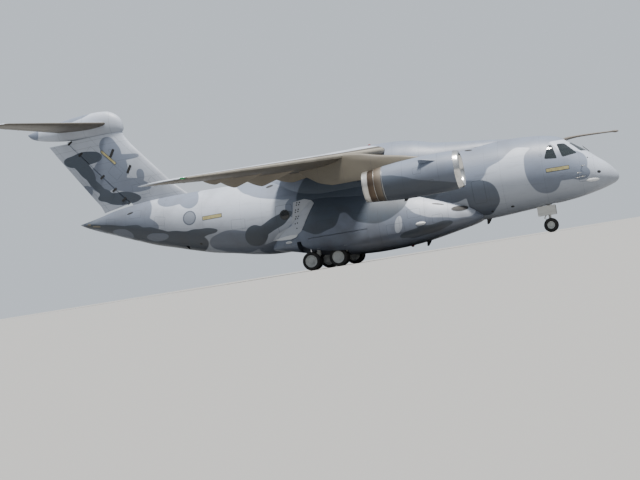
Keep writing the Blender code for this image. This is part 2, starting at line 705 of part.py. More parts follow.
def build_wing(parts, cutters):
    grown = []
    for side in (1, -1):
        bm = bmesh.new()
        add_surface(bm, WING, side, grow=0.001)
        grown.append(finish(bm, "wing_space_%d" % side, None, cutters))
    bm = bmesh.new()
    add_body(bm, 5.0, 21.0, 0.001)
    hull = finish(bm, "saddle_hull", None, cutters)
    bm = bmesh.new()
    rings = []
    for s, half, mid, top in SADDLE:
        rings.append(oval(s, half, top, mid - 0.6, mid, 2.35, 28))
    add_loft(bm, rings)
    saddle = finish(bm, "wing_saddle", "mid_grey", parts)
    boolean(saddle, hull)
    for cutter in grown:
        boolean(saddle, cutter)

    flap_cuts = []
    for side, word in ((1, "left"), (-1, "right")):
        bm = bmesh.new()
        add_surface(bm, WING, side)
        wing = finish(bm, "wing_" + word, "light_grey", parts)
        ends = hinge_line(WING, AILERON[:2], AILERON[2], side)
        slot, bed = moving_surface("aileron_" + word, WING, ends, side, parts, cutters,
                                   "light_grey")
        boolean(wing, slot)
        boolean(wing, bed)
        bm = bmesh.new()
        add_flap_block(bm, side, 0.0)
        slot = finish(bm, "flap_slot_" + word, None, cutters)
        boolean(wing, slot)
        bm = bmesh.new()
        add_surface(bm, WING, side)
        flap = finish(bm, "flap_" + word, "light_grey", parts)
        bm = bmesh.new()
        add_flap_block(bm, side, 0.0008)
        trimmed(flap, bm, "flap_trim_" + word, cutters)

        bm = bmesh.new()
        add_surface(bm, WING, side, grow=0.006)
        over = finish(bm, "flap_space_" + word, None, cutters)
        boolean(over, slot, "INTERSECT")
        bm = bmesh.new()
        for track in TRACKS:
            add_track(bm, track, side)
        tracks = finish(bm, "track_fairings_" + word, None, cutters)
        boolean(tracks, over)
        boolean(wing, tracks, "UNION")


def add_flap_block(bm, side, trim):
    """Block behind the flap's front edge, which bends where the wing does."""
    y0, y1, y2, share = FLAP
    front = []
    for y, inset in ((y0, trim), (y1, 0.0), (y2, -trim)):
        _, lead, trail, level, _ = row_at(WING, y + inset)
        front.append(at(lead + (trail - lead) * share + trim, side * (y + inset), level))
    back = [p + Vector((-3.0, 0, 0)) for p in reversed(front)]
    outline = [Vector((p.x, p.y, 5.6)) for p in front + back]
    add_prism(bm, outline, Vector((0, 0, 2.4)))


def add_track(bm, track, side):
    """Keeled fairing of a flap track, deepest under the front edge of the flap."""
    y, first, last, deep, half = track
    _, lead, trail, level, ratio = row_at(WING, y)
    chord = trail - lead
    start = 0.8 * foil_half(first, ratio) * chord
    rings = []
    for share, part, full, wide in TRACK_SHAPE:
        x = first + (last - first) * share
        keel = start * part + deep * full
        skin = min(foil_half(x, ratio) * chord, 0.6 * keel)
        middle = level - WING_FALL * chord * x
        side_points = [(wide * half, 0.0), (wide * half, skin),
                       (wide * half * 0.6, skin + (keel - skin) * 0.5), (0.02, keel)]
        around = side_points + [(-out, down) for out, down in reversed(side_points)]
        rings.append([at(lead + chord * x, side * y + out, middle - down)
                      for out, down in around])
    add_loft(bm, rings)


def engine_axis():
    return Vector((math.cos(ENGINE_PITCH), 0.0, math.sin(ENGINE_PITCH)))


def build_engines(parts, cutters):
    axis = engine_axis()
    cowl = [(0.0, 0.93), (-0.06, 0.975), (-0.30, 1.02), (-1.0, 1.055), (-2.0, 1.055),
            (-3.3, 1.01), (-4.62, 0.885), (-4.62, 0.80), (-3.2, 0.88), (-1.6, 0.895),
            (-1.0, 0.825), (-0.4, 0.80), (-0.08, 0.86)]
    nozzle = [(-4.6206, 0.884), (-5.28, 0.825), (-5.28, 0.795), (-4.6206, 0.82)]
    core = [(-1.62, 0.0), (-1.62, 0.8938), (-1.78, 0.8924), (-1.82, 0.62), (-4.1, 0.56),
            (-5.15, 0.10), (-5.2, 0.0)]
    fan = [(-0.88, 0.0), (-0.93, 0.06), (-1.05, 0.15), (-1.2, 0.24), (-1.22, 0.78),
           (-1.32, 0.78), (-1.36, 0.26), (-1.6193, 0.2), (-1.6193, 0.0)]
    spaces = []
    for side, word in ((1, "left"), (-1, "right")):
        lip = at(ENGINE_FRONT, side * ENGINE_Y, ENGINE_Z)
        for name, profile, look in (("nacelle_", cowl, "mid_grey"),
                                    ("nozzle_", nozzle, "hot_metal"),
                                    ("engine_core_", core, "metal")):
            bm = bmesh.new()
            add_turned(bm, profile, lip, axis, 28)
            finish(bm, name + word, look, parts)
        bm = bmesh.new()
        add_turned(bm, fan, lip, axis, 24)
        finish(bm, "fan_" + word, "metal", parts, pivot=lip - axis * 1.2)
        bm = bmesh.new()
        add_turned(bm, [(0.0, 0.0)] + [(a, r + 0.001) for a, r in cowl[:7]]
                   + [(-4.625, 0.886), (-5.3, 0.828), (-5.3, 0.0)], lip, axis, 28)
        spaces.append(finish(bm, "nacelle_space_" + word, None, cutters))
        bm = bmesh.new()
        outline = side_outline([(9.70, 4.95), (10.6, 5.24), (12.2, 5.58), (13.6, 5.92),
                                (14.4, 5.9), (16.9, 5.75), (16.6, 5.30), (15.6, 4.62),
                                (14.9, 4.39), (13.2, 4.40), (9.70, 4.40)],
                               side * ENGINE_Y)
        add_prism(bm, outline, Vector((0, 0.36, 0)))
        bmesh.ops.recalc_face_normals(bm, faces=bm.faces)
        edges = [e for e in bm.edges if abs(e.verts[0].co.y - e.verts[1].co.y) < 0.001]
        bmesh.ops.bevel(bm, geom=edges, offset=0.07, segments=2, affect="EDGES")
        pylon = finish(bm, "pylon_" + word, "tan", parts)
        boolean(pylon, spaces[-1])
        bm = bmesh.new()
        add_surface(bm, WING, side, grow=0.001)
        trimmed(pylon, bm, "pylon_wing_" + word, cutters, "DIFFERENCE")


def build_tail(parts, cutters):
    bm = bmesh.new()
    add_body(bm, 23.0, 32.54, 0.001)
    cone = finish(bm, "fin_hull", None, cutters)
    bm = bmesh.new()
    rings = [oval(s, half, top, bottom, (top + bottom) / 2, 2.2, 20)
             for s, top, bottom, half in BULLET]
    add_loft(bm, rings)
    bullet = finish(bm, "tail_bullet", "mid_grey", parts)
    bm = bmesh.new()
    rings = [oval(s, half + 0.001, top + 0.001, bottom - 0.001, (top + bottom) / 2, 2.2, 20)
             for s, top, bottom, half in BULLET]
    add_loft(bm, rings)
    bullet_space = finish(bm, "bullet_space", None, cutters)

    hinge = [(at(29.04, 0.0, 5.85), 0.17), (at(32.54, 0.0, 10.25), 0.145)]
    wide = Vector((0, 2.4, 0))
    bm = bmesh.new()
    add_surface(bm, FIN, upright=True)
    fin = finish(bm, "fin", "light_grey", parts)
    boolean(fin, cone)
    boolean(fin, bullet_space)
    bm = bmesh.new()
    add_surface(bm, FIN, upright=True)
    (p0, r0), (p1, r1) = hinge
    rudder = finish(bm, "rudder", "light_grey", parts, pivot=p0)
    bm = bmesh.new()
    run = (p1 - p0).normalized()
    ahead = Vector((0.004, 0, 0))
    add_prism(bm, [p0 + run * 0.06 + ahead, p1 - run * 0.01 + ahead, at(34.6, 0, 10.28),
                   at(31.5, 0, 5.42)], wide)
    trimmed(rudder, bm, "rudder_block", cutters)
    bm = bmesh.new()
    add_rod(bm, p0 + run * 0.061, p1, r0 * 0.9, r1 * 0.9, 20)
    trimmed(rudder, bm, "rudder_nose", cutters, "UNION")
    bm = bmesh.new()
    add_rod(bm, p0 + run * 0.05, p1 + run * 0.1194, PIN, sides=8)
    trimmed(rudder, bm, "rudder_pin", cutters, "UNION")
    bm = bmesh.new()
    add_rod(bm, p1 + run * 0.12, p1 + run * 0.35, 0.032, sides=12)
    trimmed(bullet, bm, "rudder_pin_boss", cutters, "UNION")
    bm = bmesh.new()
    add_prism(bm, [p0 - run * 0.9, p1 + run * 0.5, at(34.9, 0, 10.6), at(34.9, 0, 3.0)], wide)
    trimmed(fin, bm, "rudder_slot", cutters, "DIFFERENCE")
    bm = bmesh.new()
    add_rod(bm, p0 - run * 0.5, p1 + run * 0.5, r0 * 1.05 + 0.03, r1 * 1.05 + 0.03, 20)
    trimmed(fin, bm, "rudder_bed", cutters, "DIFFERENCE")
    bm = bmesh.new()
    add_prism(bm, [at(29.0, 0, 5.0), at(31.6, 0, 5.0), at(31.6, 0, 5.30), at(29.0, 0, 5.92)],
              wide)
    trimmed(rudder, bm, "rudder_foot", cutters, "DIFFERENCE")

    for side, word in ((1, "left"), (-1, "right")):
        bm = bmesh.new()
        add_surface(bm, TAILPLANE, side, start=0.02)
        plane = finish(bm, "tailplane_" + word, "light_grey", parts)
        boolean(plane, bullet_space)
        ends = hinge_line(TAILPLANE, ELEVATOR[:2], ELEVATOR[2], side)
        slot, bed = moving_surface("elevator_" + word, TAILPLANE, ends, side, parts, cutters,
                                   "light_grey")
        boolean(plane, slot)
        boolean(plane, bed)


def build_gear(parts, cutters):
    s, z = NOSE_AXLE
    bm = bmesh.new()
    add_rod(bm, at(s, 0, 2.9794), at(s, 0, 1.20), 0.10)
    leg = finish(bm, "nose_leg", "bay_white", parts)
    bm = bmesh.new()
    add_rod(bm, at(s - 1.10, 0, 2.90), at(s - 0.03, 0, 1.42), 0.045)
    trimmed(leg, bm, "nose_drag_brace", cutters, "UNION")
    bm = bmesh.new()
    box(bm, 3.99, 4.05, -0.445, 0.445, 1.34, 1.40)
    trimmed(leg, bm, "nose_door_link", cutters, "UNION")
    bm = bmesh.new()
    for side in (1, -1):
        box(bm, 3.66, 4.66, *sorted((side * 0.432, side * 0.452)), 0.98, 1.50)
    trimmed(leg, bm, "nose_leg_doors", cutters, "UNION")
    bm = bmesh.new()
    add_rod(bm, at(s, 0, 1.1993), at(s, 0, z + 0.03), 0.075)
    fork = finish(bm, "nose_fork", "metal", parts, pivot=at(s, 0, 1.0))
    bm = bmesh.new()
    box(bm, s - 0.11, s + 0.11, -0.085, 0.085, z - 0.10, z + 0.12)
    trimmed(fork, bm, "nose_axle_block", cutters, "UNION")
    bm = bmesh.new()
    add_rod(bm, at(s, -0.3, z), at(s, 0.3, z), 0.0512, sides=24)
    trimmed(fork, bm, "nose_axle_bore", cutters, "DIFFERENCE")
    wheel_pair("nose_wheels", s, 0.0, z, NOSE_TYRE, 0.10, parts)

    for side, hand in ((1, "left"), (-1, "right")):
        bm = bmesh.new()
        struts = bmesh.new()
        bores = bmesh.new()
        y = side * MAIN_LEG_Y
        r = MAIN_TYRE[0]
        for s, word in zip(MAIN_AXLES, ("front", "rear")):
            outline = [(s - 0.52, 1.7395), (s - 0.34, 1.7395), (s - 0.34, 1.02),
                       (s + 0.02, 0.70), (s + 0.12, 0.62), (s + 0.13, 0.47),
                       (s + 0.02, 0.40), (s - 0.12, 0.43), (s - 0.52, 0.82)]
            add_prism(bm, side_outline(outline, y), Vector((0, 0.15, 0)))
            add_rod(struts, at(s - 0.02, y, 0.66), at(s + 0.03, y, 1.72), 0.055)
            add_rod(bores, at(s, y - 0.4, r), at(s, y + 0.4, r), 0.0664, sides=24)
            wheel_pair("main_wheels_%s_%s" % (word, hand), s, y, r, MAIN_TYRE, 0.13, parts)
        legs = finish(bm, "main_legs_" + hand, "bay_white", parts)
        trimmed(legs, struts, "main_struts_" + hand, cutters, "UNION")
        bm = bmesh.new()
        box(bm, MAIN_AXLES[0] - 0.45, MAIN_AXLES[1] + 0.10, y - 0.09, y + 0.09, 1.62, 1.7395)
        trimmed(legs, bm, "main_leg_beam_" + hand, cutters, "UNION")
        trimmed(legs, bores, "main_axle_bores_" + hand, cutters, "DIFFERENCE")


def wheel_pair(name, s, y, z, tyre, inner, parts):
    """Two tyred wheels and the axle that turns with them, as one turned body."""
    radius, rim, width = tyre
    centre = at(s, y, z)
    half = width / 2
    mid = inner + half
    wall = radius - rim
    axle = 0.05 if radius < 0.5 else 0.065
    run = [(mid + half * 0.55, 0.0), (mid + half * 0.45, rim * 0.78), (mid + half * 0.85, rim),
           (mid + half, rim + wall * 0.45), (mid + half * 0.75, radius - 0.03),
           (mid + half * 0.38, radius), (mid - half * 0.38, radius),
           (mid - half * 0.75, radius - 0.03), (mid - half, rim + wall * 0.45),
           (mid - half * 0.85, rim), (mid - half * 0.85, rim * 0.5), (inner - 0.01, axle)]
    profile = run + [(-a, r) for a, r in reversed(run)]
    bm = bmesh.new()
    add_turned(bm, profile, centre, Vector((0, 1, 0)), 20)
    finish(bm, name, "rubber", parts, pivot=centre)


def build_probe(parts, cutters):
    bm = bmesh.new()
    route = (((2.62, 4.98), 0.10), ((2.35, 5.05), 0.085), ((1.9, 5.08), 0.065),
             ((1.0, 5.04), 0.055), ((0.1, 4.97), 0.045), ((-0.15, 4.94), 0.07),
             ((-0.35, 4.93), 0.03))
    rings = []
    for (s, z), r in route:
        rings.append([at(s, -0.25 + r * math.cos(math.tau * k / 12),
                         z + r * math.sin(math.tau * k / 12)) for k in range(12)])
    add_loft(bm, rings)
    probe = finish(bm, "refuelling_probe", "light_grey", parts)
    bm = bmesh.new()
    add_body(bm, 0.5, 4.0, 0.001)
    trimmed(probe, bm, "probe_hull", cutters, "DIFFERENCE")


def build():
    clear_scene()
    parts = collection("military_transport_plane")
    cutters = collection("cutters")
    build_fuselage(parts, cutters)
    build_inside(parts, cutters)
    build_belly(parts, cutters)
    build_wing(parts, cutters)
    build_engines(parts, cutters)
    build_tail(parts, cutters)
    build_gear(parts, cutters)
    build_probe(parts, cutters)


build()
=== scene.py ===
import math
import bpy
import bmesh
from mathutils import Matrix, Vector


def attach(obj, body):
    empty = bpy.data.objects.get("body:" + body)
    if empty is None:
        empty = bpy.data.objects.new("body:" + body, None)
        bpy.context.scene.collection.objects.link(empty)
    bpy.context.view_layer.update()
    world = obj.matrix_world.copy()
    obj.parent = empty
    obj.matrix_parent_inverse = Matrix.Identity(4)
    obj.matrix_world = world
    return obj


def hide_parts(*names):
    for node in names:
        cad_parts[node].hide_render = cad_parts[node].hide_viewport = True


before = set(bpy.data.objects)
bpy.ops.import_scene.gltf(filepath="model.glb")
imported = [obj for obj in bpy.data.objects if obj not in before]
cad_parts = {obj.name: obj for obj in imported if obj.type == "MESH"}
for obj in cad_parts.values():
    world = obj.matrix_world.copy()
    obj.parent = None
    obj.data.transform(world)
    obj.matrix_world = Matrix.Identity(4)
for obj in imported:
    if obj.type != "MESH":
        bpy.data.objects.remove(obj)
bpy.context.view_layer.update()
midStation = 17.425          # stations run aft from the nose tip, x runs forward
scene = bpy.context.scene
bothSides = ((1, "left"), (-1, "right"))


def place(s, y, z):
    return Vector((midStation - s, y, z))


def tone(r, g, b):
    # A screen colour, 0 to 255, as linear light.
    return tuple((c / 255 / 12.92) if c < 10.3 else ((c / 255 + 0.055) / 1.055) ** 2.4
                 for c in (r, g, b)) + (1.0,)


def readTable(table, spot, bend=1.0, straight=False):
    # Smooth curve through the rows that never overshoots, or straight lines between them.
    xs = [row[0] ** bend if bend != 1 else row[0] for row in table]
    x = min(max(spot, table[0][0]), table[-1][0])
    x = x ** bend if bend != 1 else x
    i = 0
    while i < len(xs) - 2 and x > xs[i + 1]:
        i += 1
    h = xs[i + 1] - xs[i]
    t = min(max((x - xs[i]) / h, 0.0), 1.0)
    out = [spot]

    def slope(k, c):
        if k <= 0 or k >= len(xs) - 1:
            k = min(max(k, 0), len(xs) - 2)
            return (table[k + 1][c] - table[k][c]) / (xs[k + 1] - xs[k])
        a = (table[k][c] - table[k - 1][c]) / (xs[k] - xs[k - 1])
        b = (table[k + 1][c] - table[k][c]) / (xs[k + 1] - xs[k])
        return 0.0 if a * b <= 0 else 2 * a * b / (a + b)

    for c in range(1, len(table[0])):
        a, b = table[i][c], table[i + 1][c]
        if straight:
            out.append(a + (b - a) * t)
            continue
        m0, m1 = slope(i, c) * h, slope(i + 1, c) * h
        out.append(a * (1 + 2 * t) * (1 - t) ** 2 + m0 * t * (1 - t) ** 2
                   + b * t * t * (3 - 2 * t) + m1 * t * t * (t - 1))
    return out


# Material sheets

class Sheet:
    def __init__(self, tree):
        self.tree = tree

    def add(self, kind, **values):
        node = self.tree.nodes.new(kind)
        for key, value in values.items():
            setattr(node, key, value)
        return node

    def feed(self, socket, value):
        if hasattr(value, "is_output"):
            self.tree.links.new(value, socket)
        elif value is not None:
            socket.default_value = value

    def maths(self, operation, a, b=None, c=None, clamp=False):
        node = self.add("ShaderNodeMath", operation=operation, use_clamp=clamp)
        for socket, value in zip(node.inputs, (a, b, c)):
            self.feed(socket, value)
        return node.outputs[0]

    def plus(self, a, b):
        return self.maths("ADD", a, b)

    def minus(self, a, b):
        return self.maths("SUBTRACT", a, b)

    def times(self, a, b, clamp=False):
        return self.maths("MULTIPLY", a, b, clamp=clamp)

    def most(self, a, b):
        return self.maths("MAXIMUM", a, b)

    def size(self, a):
        return self.maths("ABSOLUTE", a)

    def under(self, a, b):
        return self.maths("LESS_THAN", a, b)

    def vector(self, operation, a, b=None):
        node = self.add("ShaderNodeVectorMath", operation=operation)
        self.feed(node.inputs[0], a)
        self.feed(node.inputs[1], b)
        return node.outputs["Value" if operation == "LENGTH" else "Vector"]

    def mix(self, share, a, b, blend="MIX"):
        node = self.add("ShaderNodeMix", data_type="RGBA", blend_type=blend)
        self.feed(node.inputs[0], share)
        self.feed(node.inputs[6], a)
        self.feed(node.inputs[7], b)
        return node.outputs[2]

    def ramp(self, value, low, high, start=0.0, end=1.0, smooth=False):
        node = self.add("ShaderNodeMapRange")
        if smooth:
            node.interpolation_type = "SMOOTHSTEP"
        for socket, v in zip(node.inputs, (value, low, high, start, end)):
            self.feed(socket, v)
        return node.outputs[0]

    def split(self, value):
        node = self.add("ShaderNodeSeparateXYZ")
        self.feed(node.inputs[0], value)
        return node.outputs

    def join(self, x, y, z=0.0):
        node = self.add("ShaderNodeCombineXYZ")
        for socket, v in zip(node.inputs, (x, y, z)):
            self.feed(socket, v)
        return node.outputs[0]

    def noise(self, value, scale, detail=3.0, rough=0.55):
        node = self.add("ShaderNodeTexNoise")
        self.feed(node.inputs["Vector"], value)
        node.inputs["Scale"].default_value = scale
        node.inputs["Detail"].default_value = detail
        node.inputs["Roughness"].default_value = rough
        return node.outputs["Fac"]

    def turned(self, value, centre, turn=0.0, size=(1, 1, 1)):
        node = self.add("ShaderNodeMapping", vector_type="TEXTURE")
        self.feed(node.inputs["Vector"], value)
        node.inputs["Location"].default_value = centre
        node.inputs["Rotation"].default_value = (0, 0, turn)
        node.inputs["Scale"].default_value = size
        return node.outputs[0]

    def group(self, tree, **values):
        node = self.add("ShaderNodeGroup")
        node.node_tree = tree
        for key, value in values.items():
            self.feed(node.inputs[key], value)
        return node.outputs


def newGroup(name, inputs, outputs):
    tree = bpy.data.node_groups.new(name, "ShaderNodeTree")
    for label, kind, value in inputs:
        socket = tree.interface.new_socket(name=label, in_out="INPUT", socket_type="NodeSocket" + kind)
        if value is not None:
            socket.default_value = value
    for label, kind in outputs:
        tree.interface.new_socket(name=label, in_out="OUTPUT", socket_type="NodeSocket" + kind)
    sheet = Sheet(tree)
    return tree, sheet, sheet.add("NodeGroupInput").outputs, sheet.add("NodeGroupOutput").inputs


def makeGrimeAndShade():
    # Rain streaks, oily patches and fine speckle, as one dirt mask, and one tone shift that holds random
    # tone and painted shade, darker towards the underside.
    tree, sheet, given, result = newGroup(
        "weathering", [("Vector", "Vector", None), ("Amount", "Float", 0.5), ("Streak", "Float", 0.5),
                       ("Height", "Float", 1.0), ("Low", "Float", 0.0), ("High", "Float", 0.5),
                       ("Least", "Float", 1.0)],
        [("Dirt", "Float"), ("Shift", "Float"), ("Grain", "Float")])
    x, y, z = sheet.split(given["Vector"])
    wide = sheet.noise(given["Vector"], 0.35, 4.0, 0.6)
    streak = sheet.noise(sheet.join(sheet.times(x, 0.35), sheet.times(y, 2.6), sheet.times(z, 2.6)), 1.6,
                         4.0, 0.6)
    fine = sheet.noise(given["Vector"], 14.0, 3.0, 0.7)
    patch = sheet.ramp(wide, 0.42, 0.72, smooth=True)
    line = sheet.times(sheet.ramp(streak, 0.50, 0.75, smooth=True), given["Streak"])
    dirt = sheet.times(sheet.most(patch, line), given["Amount"], clamp=True)
    sheet.feed(result["Dirt"], dirt)
    # Painted shade: the colour darkens below the given height band, down to the least share.
    shade = sheet.ramp(given["Height"], given["Low"], given["High"], given["Least"], 1.0, smooth=True)
    sheet.feed(result["Shift"], sheet.times(shade, sheet.ramp(wide, 0.3, 0.7, 0.94, 1.06)))
    sheet.feed(result["Grain"], fine)
    return tree


def makeFrameLine():
    # Outline and filled area of a rounded rectangle, from a point already centred on it.
    tree, sheet, given, result = newGroup(
        "panelOutline", [("Point", "Vector", None), ("Half Length", "Float", 0.5),
                         ("Half Height", "Float", 0.5), ("Corner", "Float", 0.05),
                         ("Width", "Float", 0.015)],
        [("Line", "Float"), ("Inside", "Float")])
    x, y, _ = sheet.split(given["Point"])
    qx = sheet.plus(sheet.minus(sheet.size(x), given["Half Length"]), given["Corner"])
    qy = sheet.plus(sheet.minus(sheet.size(y), given["Half Height"]), given["Corner"])
    outer = sheet.vector("LENGTH", sheet.join(sheet.most(qx, 0.0), sheet.most(qy, 0.0)))
    inner = sheet.maths("MINIMUM", sheet.most(qx, qy), 0.0)
    reach = sheet.minus(sheet.plus(outer, inner), given["Corner"])
    sheet.feed(result["Line"], sheet.under(sheet.size(reach), given["Width"]))
    sheet.feed(result["Inside"], sheet.under(reach, 0.0))
    return tree


def makePatch():
    # How far a point lies from the middle of a turned oval, 1 on its rim.
    tree, sheet, given, result = newGroup(
        "paintPatch", [("Point", "Vector", None), ("Before", "Float", 9.0)], [("Reach", "Float")])
    u, v, _ = sheet.split(given["Point"])
    sheet.feed(result["Reach"], sheet.maths("SMOOTH_MIN", given["Before"],
                                            sheet.vector("LENGTH", sheet.join(u, v)), 0.25))
    return tree


def makeSkinMap():
    # Unrolled skin of the hull: station, and distance round the hull from its crown line.
    tree, sheet, given, result = newGroup(
        "hullMap", [("Vector", "Vector", None)], [("Station", "Float"), ("Girth", "Float"),
                                                  ("Map", "Vector"), ("Side", "Vector")])
    x, y, z = sheet.split(given["Vector"])
    s = sheet.minus(midStation, x)
    nose = sheet.ramp(s, 0.0, 6.6, 2.6, 3.44)
    tail = sheet.ramp(s, 19.4, 32.0, 0.0, 1.45)
    centre = sheet.plus(nose, tail)
    angle = sheet.maths("ARCTAN2", y, sheet.minus(z, centre))
    girth = sheet.times(angle, -2.15)
    sheet.feed(result["Station"], s)
    sheet.feed(result["Girth"], girth)
    sheet.feed(result["Map"], sheet.join(s, girth))
    sheet.feed(result["Side"], sheet.join(s, z, y))
    return tree


grimeAndShade = makeGrimeAndShade()
frameLine = makeFrameLine()
patchReach = makePatch()
hullMap = makeSkinMap()

greys = {
    "light": tone(180, 188, 202), "middle": tone(118, 128, 146), "dark": tone(70, 81, 95),
    # deep is middle grey darkened as painted shade; under is the dark warm painted shade of the wing and
    # tailplane undersides.
    "deep": tone(92, 102, 118), "under": tone(80, 76, 69), "line": tone(52, 57, 64), "soot": tone(60, 56,
                                                                                                  52),
}


def startMaterial(name):
    material = bpy.data.materials.new(name)
    material.use_nodes = True
    sheet = Sheet(material.node_tree)
    shader = material.node_tree.nodes["Principled BSDF"]
    point = sheet.add("ShaderNodeTexCoord").outputs["Object"]
    return material, sheet, shader, point


def addBump(sheet, shader, height, strength, distance):
    bump = sheet.add("ShaderNodeBump")
    for key, value in (("Strength", strength), ("Distance", distance), ("Height", height)):
        sheet.feed(bump.inputs[key], value)
    sheet.feed(shader.inputs["Normal"], bump.outputs[0])


def addPatches(sheet, point, rows, soft=0.02):
    # Every row is an oval: centre, half length, half height, turn in degrees.
    reach = 9.0
    for u, v, halfU, halfV, turn in rows:
        spot = sheet.turned(point, (u, v, 0), math.radians(turn), (halfU, halfV, 1))
        reach = sheet.group(patchReach, Point=spot, Before=reach)["Reach"]
    return sheet.ramp(reach, 1.0 + soft, 1.0 - soft)


def addFrames(sheet, point, rows, before=0.0):
    # Every row is a panel outline: centre, half length, half height, turn, corner, line width.
    for u, v, halfU, halfV, turn, corner, width in rows:
        spot = sheet.turned(point, (u, v, 0), math.radians(turn))
        line = sheet.group(frameLine, **{"Point": spot, "Half Length": halfU, "Half Height": halfV,
                                         "Corner": corner, "Width": width})["Line"]
        before = sheet.most(before, line)
    return before


def addRings(sheet, value, spots, width, before=0.0):
    for spot in spots:
        gap = sheet.size(sheet.minus(value, spot))
        before = sheet.most(before, sheet.under(gap, width))
    return before


def paintShadeBelow(sheet, point, low, high, least, rise=0.0):
    # Painted shade that darkens towards the underside, which climbs behind the wing.
    x, y, z = sheet.split(point)
    climb = sheet.ramp(sheet.minus(midStation, x), 19.4, 32.0, 0.0, rise)
    return {"Height": sheet.minus(z, climb), "Low": low, "High": high, "Least": least}


def finishPaint(sheet, shader, point, colour, lines, amount, streak, rough=0.46, tint=None, fade=None):
    # The tone shift multiplies in painted shade towards the underside when its height band is given.
    paintedShade = paintShadeBelow(sheet, point, *fade) if fade else {}
    marks = sheet.group(grimeAndShade, Vector=point, Amount=amount, Streak=streak, **paintedShade)
    colour = sheet.mix(1.0, colour, sheet.join(marks["Shift"], marks["Shift"], marks["Shift"]), "MULTIPLY")
    colour = sheet.mix(marks["Dirt"], colour, tint or greys["soot"])
    if lines is not None:
        colour = sheet.mix(sheet.times(lines, 0.62), colour, greys["line"])
    sheet.feed(shader.inputs["Base Color"], colour)
    gloss = sheet.plus(sheet.times(marks["Grain"], 0.16), rough - 0.08)
    sheet.feed(shader.inputs["Roughness"], sheet.plus(gloss, sheet.times(marks["Dirt"], 0.2)))
    height = sheet.times(marks["Grain"], 0.12)
    if lines is not None:
        height = sheet.minus(height, lines)
    addBump(sheet, shader, height, 0.25, 0.004)


# Shapes

def newShape():
    return bmesh.new()


def joinShapes(bm, *others):
    for other in others:
        spare = bpy.data.meshes.new("spareShape")
        other.to_mesh(spare)
        other.free()
        bm.from_mesh(spare)
        bpy.data.meshes.remove(spare)
    return bm


def faceOutward(bm):
    bmesh.ops.recalc_face_normals(bm, faces=bm.faces)
    if bm.calc_volume(signed=True) < 0:
        bmesh.ops.reverse_faces(bm, faces=bm.faces)
    return bm


def cutShape(bm, cutter, operation="DIFFERENCE"):
    # Exact cut of one closed shape by another.
    pair = []
    for shape in (bm, cutter):
        faceOutward(shape)
        mesh = bpy.data.meshes.new("cutShape")
        shape.to_mesh(mesh)
        shape.free()
        obj = bpy.data.objects.new("cutShape", mesh)
        scene.collection.objects.link(obj)
        pair.append(obj)
    modifier = pair[0].modifiers.new("cut", "BOOLEAN")
    modifier.solver = "EXACT"
    modifier.operation = operation
    modifier.object = pair[1]
    result = bmesh.new()
    result.from_object(pair[0], bpy.context.evaluated_depsgraph_get())
    for obj in pair:
        mesh = obj.data
        bpy.data.objects.remove(obj)
        bpy.data.meshes.remove(mesh)
    return result


def keepShape(bm, cutter):
    return cutShape(bm, cutter, "INTERSECT")


def wrapGrid(spots, turns, shape, close=True):
    # A grid rolled up round the piece: one line of it for each spot.
    bm = bmesh.new()
    bmesh.ops.create_grid(bm, x_segments=len(spots) - 1, y_segments=turns, size=0.5)
    for vert in bm.verts:
        row = round((vert.co.x + 0.5) * (len(spots) - 1))
        turn = round((vert.co.y + 0.5) * turns) % turns
        vert.co = shape(spots[row], turn / turns)
    bmesh.ops.remove_doubles(bm, verts=bm.verts, dist=1e-5)
    bmesh.ops.dissolve_degenerate(bm, edges=bm.edges, dist=1e-6)
    if close:
        bmesh.ops.holes_fill(bm, edges=[e for e in bm.edges if e.is_boundary])
    return faceOutward(bm)


def boxShape(s0, s1, y0, y1, z0, z1, bevel=0.0):
    bm = bmesh.new()
    y0, y1 = min(y0, y1), max(y0, y1)
    for vert in bmesh.ops.create_cube(bm, size=1)["verts"]:
        u, v, w = vert.co
        vert.co = place(s0 + (s1 - s0) * (u + 0.5), y0 + (y1 - y0) * (v + 0.5), z0 + (z1 - z0) * (w + 0.5))
    if bevel:
        bmesh.ops.bevel(bm, geom=bm.edges[:], offset=bevel, segments=2, profile=0.5,
                        affect="EDGES", material=-1)
    return faceOutward(bm)


def prismShape(corners, reach, corner=0.0, steps=5):
    # Outline swept by half of its reach to each side, its corners rounded.
    bm = bmesh.new()
    face = bm.faces.new([bm.verts.new(p - reach / 2) for p in corners])
    if corner:
        bmesh.ops.bevel(bm, geom=bm.verts[:], offset=corner, segments=steps, profile=0.5,
                        affect="VERTICES", material=-1)
        bm.faces.ensure_lookup_table()
        face = bm.faces[0]
    made = bmesh.ops.extrude_face_region(bm, geom=[face], use_keep_orig=True)["geom"]
    for vert in [g for g in made if isinstance(g, bmesh.types.BMVert)]:
        vert.co += reach
    return faceOutward(bm)


def rodShape(start, end, r0, r1=None, sides=32, bevel=0.0):
    bm = bmesh.new()
    run = end - start
    made = bmesh.ops.create_cone(bm, cap_ends=True, segments=sides, radius1=r0,
                                 radius2=r0 if r1 is None else r1, depth=run.length)
    turn = run.to_track_quat("Z", "Y").to_matrix()
    for vert in made["verts"]:
        vert.co = turn @ vert.co + (start + end) / 2
    if bevel:
        rims = [e for e in bm.edges if len(e.link_faces) == 2 and
                {len(f.verts) > 4 for f in e.link_faces} == {True, False}]
        bmesh.ops.bevel(bm, geom=rims, offset=bevel, segments=2, profile=0.5,
                        affect="EDGES", material=-1)
    return bm


